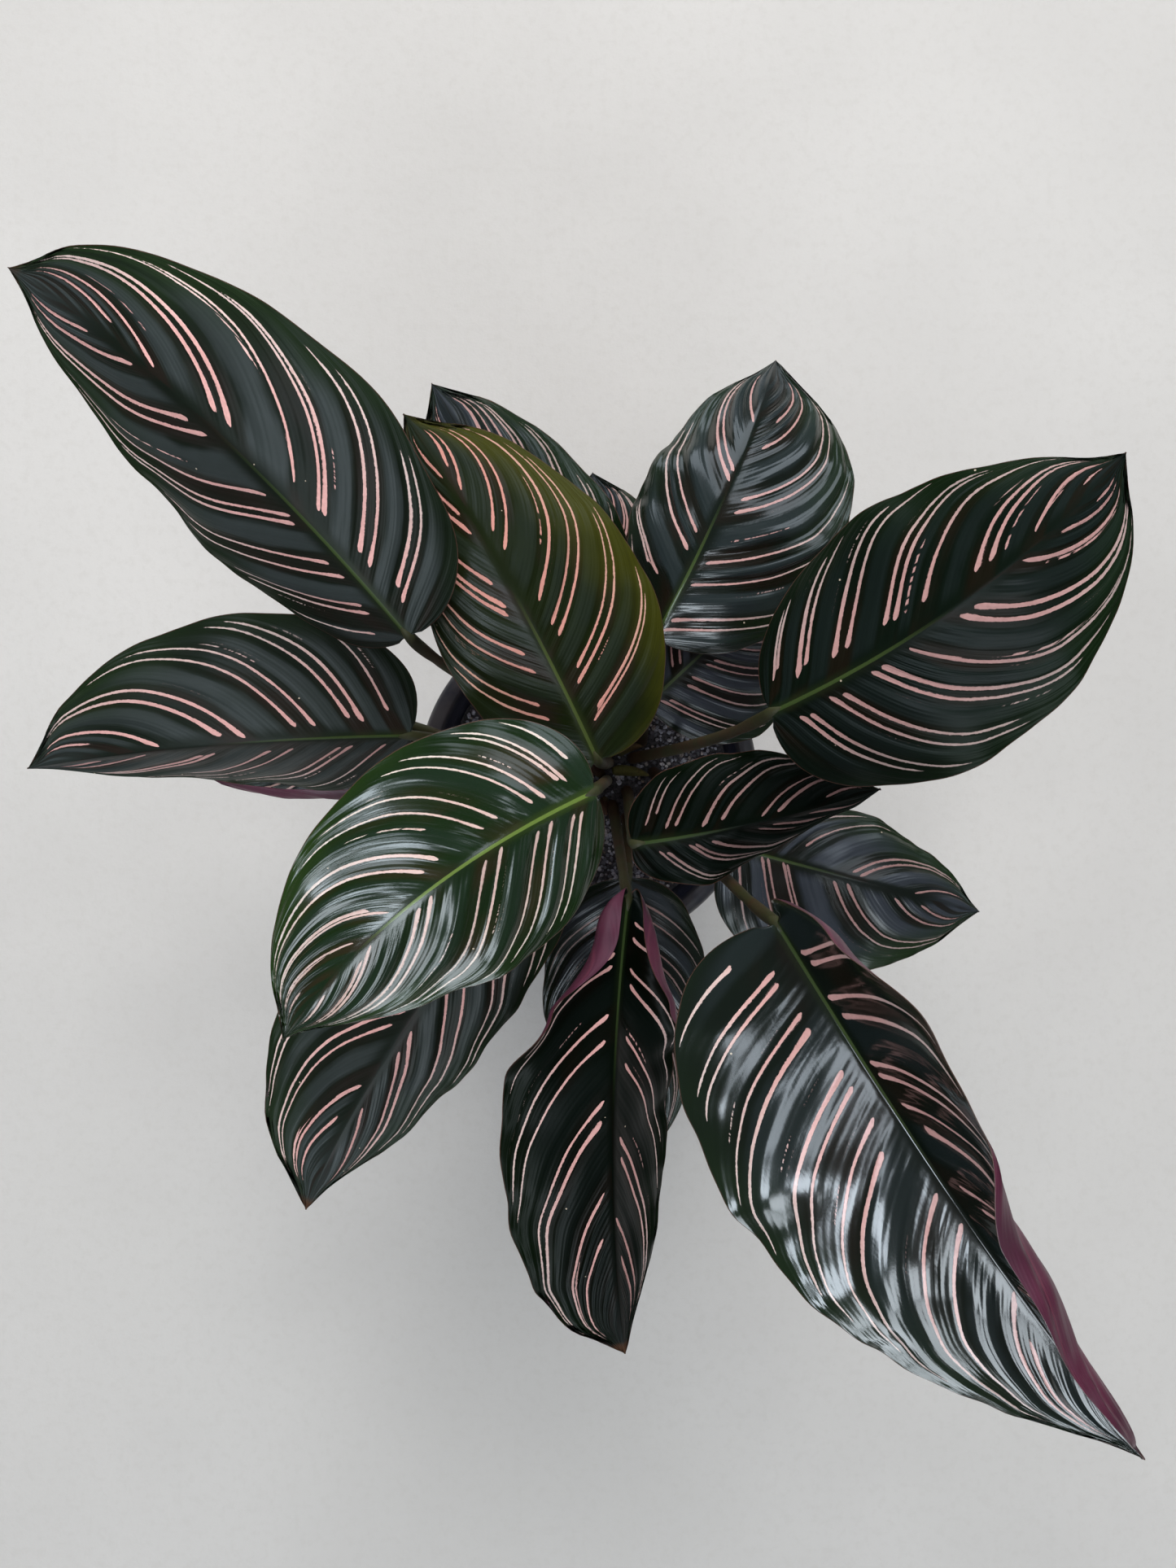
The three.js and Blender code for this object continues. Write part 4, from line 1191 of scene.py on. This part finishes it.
def pot_mesh(material):
    """The thin-walled pot with its rolled lip and its drainage holes."""
    lip_bottom = POT_HEIGHT - LIP_DEPTH
    inner_rim = RIM_WALL_RADIUS - WALL
    profile = [
        (0, 0), (BASE_RADIUS - 14, 0), (BASE_RADIUS - 13, 0.0), (BASE_RADIUS - 2.2, 0),
        (BASE_RADIUS - 1.2, 0.15), (BASE_RADIUS - 0.4, 0.6), (BASE_RADIUS, 1.4),
        (wall_radius(40), 40), (wall_radius(80), 80), (wall_radius(124), 124),
        (SHOULDER_RADIUS + 0.5, SHOULDER_HEIGHT + 0.3), (RIM_WALL_RADIUS - 0.7, SHOULDER_HEIGHT + 1.9),
        (RIM_WALL_RADIUS, SHOULDER_HEIGHT + 3), (RIM_WALL_RADIUS, lip_bottom + 0.5),
        (RIM_WALL_RADIUS + 0.4, lip_bottom + 0.2), (RIM_RADIUS - 2.2, lip_bottom),
        (RIM_RADIUS - 1.2, lip_bottom + 0.3), (RIM_RADIUS - 0.5, lip_bottom + 1.2),
        (RIM_RADIUS - 0.1, lip_bottom + 2.6), (RIM_RADIUS, lip_bottom + 4.2),
        (RIM_RADIUS - 0.35, POT_HEIGHT - 3), (RIM_RADIUS - 1.2, POT_HEIGHT - 1.7),
        (RIM_RADIUS - 2.6, POT_HEIGHT - 0.7), (RIM_RADIUS - 4.4, POT_HEIGHT - 0.1),
        (RIM_RADIUS - 5.2, POT_HEIGHT), (inner_rim + 0.9, POT_HEIGHT),
        (inner_rim + 0.3, POT_HEIGHT - 0.3), (inner_rim, POT_HEIGHT - 0.9),
        (inner_rim, SHOULDER_HEIGHT + 4.2),
        (inner_rim - 0.5, SHOULDER_HEIGHT + 3.2), (SHOULDER_RADIUS - WALL + 0.4, SHOULDER_HEIGHT + 1.1),
        (SHOULDER_RADIUS - WALL, SHOULDER_HEIGHT - 0.2), (wall_radius(60) - WALL, 60),
        (wall_radius(FLOOR) - WALL, FLOOR + 1), (wall_radius(FLOOR) - WALL - 1, FLOOR), (0, FLOOR),
    ]
    body = new_object("pot_body", new_mesh("pot_body", *lathe(profile, POT_FACETS)))
    bores = bmesh.new()
    for angle in ring_angles(DRAIN_COUNT, 0.5):
        bore = bmesh.ops.create_cone(
            bores, cap_ends=True, segments=BORE_FACETS,
            radius1=DRAIN_RADIUS * MM, radius2=DRAIN_RADIUS * MM, depth=BORE_DEPTH * MM,
        )
        where = Vector((math.cos(angle), math.sin(angle), 0)) * DRAIN_RING_RADIUS * MM
        bmesh.ops.translate(bores, verts=bore["verts"], vec=where + Vector((0, 0, FLOOR / 2 * MM)))
    bore_mesh = bpy.data.meshes.new("drain_bores")
    bores.to_mesh(bore_mesh)
    bores.free()
    cutter = new_object("drain_bores", bore_mesh)
    cut = body.modifiers.new("drains", "BOOLEAN")
    cut.operation = "DIFFERENCE"
    cut.solver = "EXACT"
    cut.object = cutter
    pot = evaluated_mesh(body)
    bpy.data.objects.remove(cutter)
    bpy.data.objects.remove(body)
    pot.materials.clear()
    pot.materials.append(material)
    smooth(pot)
    pot.set_sharp_from_angle(angle=math.radians(POT_SHARP_EDGE))
    return pot


# Growing medium

TAPER_TO_SOIL = 0.6  # how much narrower the pot is at the medium's top than at its shoulder
BED_INSET = 2.2  # the pot's wall and a little play
SOIL_RADIUS = SHOULDER_RADIUS - TAPER_TO_SOIL - BED_INSET
BED_TOP = SOIL_TOP - 1.0  # the grains fill the last millimetre
BED_BOTTOM = FLOOR + GAP
BED_RINGS = 40
BED_SIDES = 96
CLEAR_OF_STALK = 5.2  # no grain lies nearer to the middle of a stalk
CLEAR_OF_POT = 3.2  # nor nearer to the bed's edge
GRAIN_KINDS = 4
GRAIN_DENSITY = 900000.0  # tries for each square metre
GRAINS = {"Spacing": 1.5 * MM, "Smallest": 1.5 * MM, "Largest": 3.4 * MM, "Seed": 5}


def gravel(x, y):
    """The lumps of the medium's top."""
    lumps = math.sin(0.41 * x + 0.9) * math.cos(0.37 * y) + math.sin(0.23 * x - 0.31 * y + 2)
    return 0.8 * lumps


def bed_mesh(material):
    """The medium's body: a gently lumpy top on a plain plug, with where grains may lie on it."""
    points = [(0.0, 0.0, BED_TOP)]
    faces = []
    for i in range(1, BED_RINGS + 1):
        radius = SOIL_RADIUS * i / BED_RINGS
        fade = 1 - (i / BED_RINGS) ** 6
        for angle in ring_angles(BED_SIDES):
            x, y = radius * math.cos(angle), radius * math.sin(angle)
            points.append((x, y, BED_TOP + fade * gravel(x, y)))
    low = wall_radius(BED_BOTTOM) - WALL - 0.35
    for angle in ring_angles(BED_SIDES):
        points.append((low * math.cos(angle), low * math.sin(angle), BED_BOTTOM))
    points.append((0.0, 0.0, BED_BOTTOM))

    def at(i, k):
        return 0 if i == 0 else 1 + (i - 1) * BED_SIDES + k % BED_SIDES

    for k in range(BED_SIDES):
        faces.append((0, at(1, k), at(1, k + 1)))
        for i in range(1, BED_RINGS + 1):
            faces.append((at(i, k), at(i + 1, k), at(i + 1, k + 1), at(i, k + 1)))
        faces.append((len(points) - 1, at(BED_RINGS + 1, k + 1), at(BED_RINGS + 1, k)))
    mesh = new_mesh("medium_bed", points, faces, material)
    feet = [leaf["foot"] for leaf in LEAVES.values()]
    room = []
    for x, y, z in points:
        clear = min(math.hypot(x - fx, y - fy) for fx, fy in feet) > CLEAR_OF_STALK
        inside = math.hypot(x, y) < SOIL_RADIUS - CLEAR_OF_POT
        room.append(1.0 if clear and inside and z > SOIL_TOP - 4 else 0.0)
    give_values(mesh, "room", room)
    return mesh


def grain_object(name, seed):
    """One rough grain of twenty faces, about 1 unit across."""
    made = bmesh.new()
    bmesh.ops.create_icosphere(made, subdivisions=1, radius=0.5)
    random = np.random.default_rng(seed)
    for vertex in made.verts:
        vertex.co = vertex.co.normalized() * random.uniform(0.38, 0.60)
    mesh = bpy.data.meshes.new(name)
    made.to_mesh(mesh)
    made.free()
    return bpy.data.objects.new(name, mesh)


def scatter_tree(material, grains):
    """Scatters grains over a bed by its room attribute, and joins them to it."""
    tree = bpy.data.node_groups.new("grain_scatter", "GeometryNodeTree")
    interface = tree.interface
    interface.new_socket("Geometry", in_out="INPUT", socket_type="NodeSocketGeometry")
    ids = {}
    for name in ("Spacing", "Smallest", "Largest"):
        ids[name] = interface.new_socket(name, in_out="INPUT", socket_type="NodeSocketFloat").identifier
    ids["Seed"] = interface.new_socket("Seed", in_out="INPUT", socket_type="NodeSocketInt").identifier
    interface.new_socket("Geometry", in_out="OUTPUT", socket_type="NodeSocketGeometry")

    def add(kind, settings=None, inputs=None):
        node = tree.nodes.new(kind)
        for key, value in (settings or {}).items():
            setattr(node, key, value)
        for key, value in (inputs or {}).items():
            if isinstance(value, bpy.types.NodeSocket):
                tree.links.new(value, node.inputs[key])
            else:
                node.inputs[key].default_value = value
        return node

    given = add("NodeGroupInput")
    room = add("GeometryNodeInputNamedAttribute", {"data_type": "FLOAT"}, {"Name": "room"})
    points = add("GeometryNodeDistributePointsOnFaces", {"distribute_method": "POISSON"}, {
        "Mesh": given.outputs["Geometry"],
        "Distance Min": given.outputs["Spacing"],
        "Density Max": GRAIN_DENSITY,
        "Density Factor": room.outputs["Attribute"],
        "Seed": given.outputs["Seed"],
    })
    tone = add("FunctionNodeRandomValue", {"data_type": "FLOAT"}, {"Seed": 7})
    toned = add("GeometryNodeStoreNamedAttribute", {"data_type": "FLOAT", "domain": "POINT"}, {
        "Geometry": points.outputs["Points"],
        "Name": "tone",
        "Value": tone.outputs[1],
    })
    group = bpy.data.collections.new("grain_kinds")
    for grain in grains:
        group.objects.link(grain)
    kinds = add("GeometryNodeCollectionInfo", None, {
        "Collection": group,
        "Separate Children": True,
        "Reset Children": True,
    })
    turn = add("FunctionNodeRandomValue", {"data_type": "FLOAT_VECTOR"}, {
        "Min": (0.0, 0.0, 0.0),
        "Max": (TURN, TURN, TURN),
        "Seed": 11,
    })
    size = add("FunctionNodeRandomValue", {"data_type": "FLOAT"}, {
        2: given.outputs["Smallest"],
        3: given.outputs["Largest"],
        "Seed": 13,
    })
    stretch = add("FunctionNodeRandomValue", {"data_type": "FLOAT_VECTOR"}, {
        "Min": (0.75, 0.7, 0.55),
        "Max": (1.25, 1.1, 0.9),
        "Seed": 17,
    })
    scaled = add("ShaderNodeVectorMath", {"operation": "SCALE"}, {
        0: stretch.outputs[0],
        "Scale": size.outputs[1],
    })
    placed = add("GeometryNodeInstanceOnPoints", None, {
        "Points": toned.outputs["Geometry"],
        "Instance": kinds.outputs[0],
        "Pick Instance": True,
        "Rotation": turn.outputs[0],
        "Scale": scaled.outputs[0],
    })
    real = add("GeometryNodeRealizeInstances", None, {"Geometry": placed.outputs["Instances"]})
    painted = add("GeometryNodeSetMaterial", None, {"Geometry": real.outputs[0], "Material": material})
    joined = add("GeometryNodeJoinGeometry")
    tree.links.new(given.outputs["Geometry"], joined.inputs[0])
    tree.links.new(painted.outputs[0], joined.inputs[0])
    result = add("NodeGroupOutput")
    tree.links.new(joined.outputs[0], result.inputs[0])
    return tree, ids, group


def medium_mesh(bed_material, grain_material):
    """The bed with its scattered grains, as one plain mesh."""
    bed = new_object("medium_bed", bed_mesh(bed_material))
    grains = [grain_object(f"grain_{i}", 40 + i) for i in range(GRAIN_KINDS)]
    tree, ids, group = scatter_tree(grain_material, grains)
    scatter = bed.modifiers.new("grains", "NODES")
    scatter.node_group = tree
    for name, value in GRAINS.items():
        scatter[ids[name]] = value
    medium = evaluated_mesh(bed)
    for used in (bed, *grains):
        bpy.data.objects.remove(used)
    bpy.data.collections.remove(group)
    return medium


# Floor, light and camera

CAMERA_PLACE = (0.2, -2.5, 691)
LENS = 27.03
FLOOR_REACH = 4000


def stage():
    """A plain pale floor."""
    low, high = -FLOOR_REACH, FLOOR_REACH
    corners = [(low, low, 0), (high, low, 0), (high, high, 0), (low, high, 0)]
    new_object("floor", new_mesh("floor", corners, [(0, 1, 2, 3)], pale_floor()))


# Soft windows and panels: place and size in metres, radiance and colour. Windows are only mirrored
# in the leaves, and panels only light what they reach.
COOL = (0.80, 0.90, 1.0)
WINDOWS = {
    "front_window": ((0.08, -2.0, 1.15), (0.7, 1.5), 8.0, (0.84, 0.93, 1.0)),
    "front_skylight": ((0.30, -1.40, 2.15), (0.6, 0.7), 11.0, (0.84, 0.93, 1.0)),
    "roof_window": ((-0.50, -0.80, 2.26), (0.65, 0.40), 17.0, COOL),
    "west_roof": ((-0.55, -0.16, 2.35), (0.40, 0.50), 7.5, COOL),
    "east_roof": ((0.92, -0.16, 2.25), (0.36, 0.26), 7.0, (0.84, 0.92, 1.0)),
    "side_window": ((1.30, 1.35, 1.45), (1.0, 1.2), 3.0, COOL),
    "far_window": ((-0.45, 2.30, 0.85), (1.5, 1.0), 2.6, COOL),
}
PANELS = {
    "front_panel": ((0.08, -2.0, 1.30), (0.9, 1.4), 4.6, (0.90, 0.96, 1.0)),
    "left_panel": ((-1.82, -0.26, 1.74), (1.4, 2.0), 0.9, (0.94, 0.97, 1.0)),
    "back_panel": ((0.0, 1.5, 1.6), (1.8, 1.4), 6.3, (1.0, 0.985, 0.965)),
    "top_panel": ((0.0, 0.0, 1.7), (0.5, 0.5), 7.0, (1.0, 0.99, 0.97)),
}
LIT_CENTRE = Vector((0, 0, 0.2))
SKY_STRENGTH = 0.15


def area_light(name, place, size, radiance, colour):
    """A soft rectangle that faces the plant."""
    data = bpy.data.lights.new(name, "AREA")
    data.shape = "RECTANGLE"
    data.size, data.size_y = size
    data.energy = radiance * math.pi * size[0] * size[1]
    data.color = colour
    made = new_object(name, data)
    made.location = place
    made.rotation_euler = (LIT_CENTRE - Vector(place)).to_track_quat("-Z", "Y").to_euler()
    made.visible_camera = False
    return made


def lights():
    """A dim sky, the windows and the panels."""
    world = bpy.data.worlds.new("studio")
    bpy.context.scene.world = world
    world.use_nodes = True
    background = world.node_tree.nodes["Background"]
    background.inputs["Color"].default_value = (0.90, 0.95, 1.0, 1.0)
    background.inputs["Strength"].default_value = SKY_STRENGTH
    for name, given in WINDOWS.items():
        area_light(name, *given).visible_diffuse = False
    for name, given in PANELS.items():
        area_light(name, *given).visible_glossy = False
    bpy.context.scene.view_settings.view_transform = "Standard"


def camera():
    """Straight above the plant."""
    data = bpy.data.cameras.new("camera")
    data.sensor_width = 36.0
    data.lens = LENS
    data.clip_start = 0.01
    data.clip_end = 50.0
    made = new_object("camera", data)
    made.location = Vector(CAMERA_PLACE) * MM
    bpy.context.scene.camera = made


# What the leaves' upper faces are like

# panel: the grey-blue between the side veins, partly the leaf's own tone and partly painted sheen
DARK = dict(
    deep=(0.0022, 0.0052, 0.0028), panel=(0.026, 0.037, 0.043), panel_strength=1.0,
    flush=(0.0078, 0.0215, 0.0040), flush_reach=0.55, flush_side=0.0,
    rib=((0.040, 0.065, 0.018), 0.18, 0.50), stripe_colours=(PINK, PALE_PINK),
)
# Bluer, paler panels than the dark look: stronger painted sheen, a painted reflection of the sky
SLATE_SHEEN = dict(DARK, panel=(0.038, 0.046, 0.060))
# A lighter copy of the dark look: painted sheen, the dull grey reflection some leaves catch
ASHEN_SHEEN = dict(
    DARK, deep=(0.0062, 0.0100, 0.0064), panel=(0.044, 0.055, 0.057),
    flush=(0.0100, 0.0225, 0.0065),
)
# A darker copy of the dark look: painted shade, for leaves that lie in shade
SHADED_BLACK = dict(
    DARK, deep=(0.0009, 0.0024, 0.0011), panel=(0.012, 0.018, 0.018),
    flush=(0.0034, 0.0092, 0.0018), rib=((0.030, 0.050, 0.016), 0.10, 0.45),
)
OLIVE = dict(
    deep=(0.0065, 0.0110, 0.0020), panel=(0.018, 0.026, 0.020), panel_strength=0.8,
    flush=(0.046, 0.048, 0.003), flush_reach=0.50, flush_side=0.35,
    rib=((0.060, 0.085, 0.020), 0.2, 0.5),
    stripe_colours=((0.58, 0.27, 0.23), (0.55, 0.32, 0.25)),
)
BRIGHT = dict(
    deep=(0.004, 0.0150, 0.0018), panel=(0.012, 0.026, 0.018), panel_strength=0.8,
    flush=(0.018, 0.045, 0.004), flush_reach=0.30, flush_side=0.0,
    rib=((0.130, 0.200, 0.040), 0.45, 0.70),
    stripe_colours=((0.66, 0.48, 0.44), (0.68, 0.60, 0.55)),
)


def leaf_tops():
    """The look and the slot of each leaf's upper face."""
    shiny = upper_face("shiny_leaf_top", gloss=0.12, specular=0.5, coat=0.1, **DARK)
    dull = upper_face("leaf_top", gloss=0.34, specular=0.07, coat=0.0, **DARK)
    ashen_sheen = upper_face("ashen_leaf_top", gloss=0.34, specular=0.10, coat=0.0, **ASHEN_SHEEN)
    shaded_black = upper_face("black_leaf_top", gloss=0.34, specular=0.05, coat=0.0, **SHADED_BLACK)
    # This look's panels carry stronger painted sheen
    dusty = upper_face("dusty_leaf_top", gloss=0.20, specular=0.35, coat=0.05, **SLATE_SHEEN)
    olive = upper_face("olive_leaf_top", gloss=0.27, specular=0.15, coat=0.0, **OLIVE)
    bright = upper_face("bright_leaf_top", gloss=0.14, specular=0.45, coat=0.08, **BRIGHT)
    tops = {name: (dull, "leaf") for name in LEAVES}
    for look, names in (
        (ashen_sheen, ("leaf_01", "leaf_03", "leaf_05")),
        (shaded_black, ("leaf_06", "leaf_10")),
        (shiny, ("leaf_08", "leaf_12")),
        (dusty, ("leaf_07", "leaf_09", *HIDDEN_LEAVES)),
    ):
        for name in names:
            tops[name] = (look, "leaf")
    tops["leaf_02"] = (olive, "olive_leaf")
    tops["leaf_04"] = (bright, "bright_leaf")
    return tops


camera()
lights()
stage()

underside = under_face()
stalk = stalk_skin()
tops = leaf_tops()
piece("calathea_pot", pot_mesh(pot_plastic()), "pot", "pot")
piece("growing_medium", medium_mesh(fine_soil(), pumice()), "soil", "soil")
piece("crown_sheaths", sheath_mesh(dry_sheath()), "leaf")
for number, (name, leaf) in enumerate(LEAVES.items(), 1):
    top, slot = tops[name]
    mesh = leaf_mesh(name, leaf, number, [top, underside, stalk])
    piece(name + "_dressed", mesh, slot, name)
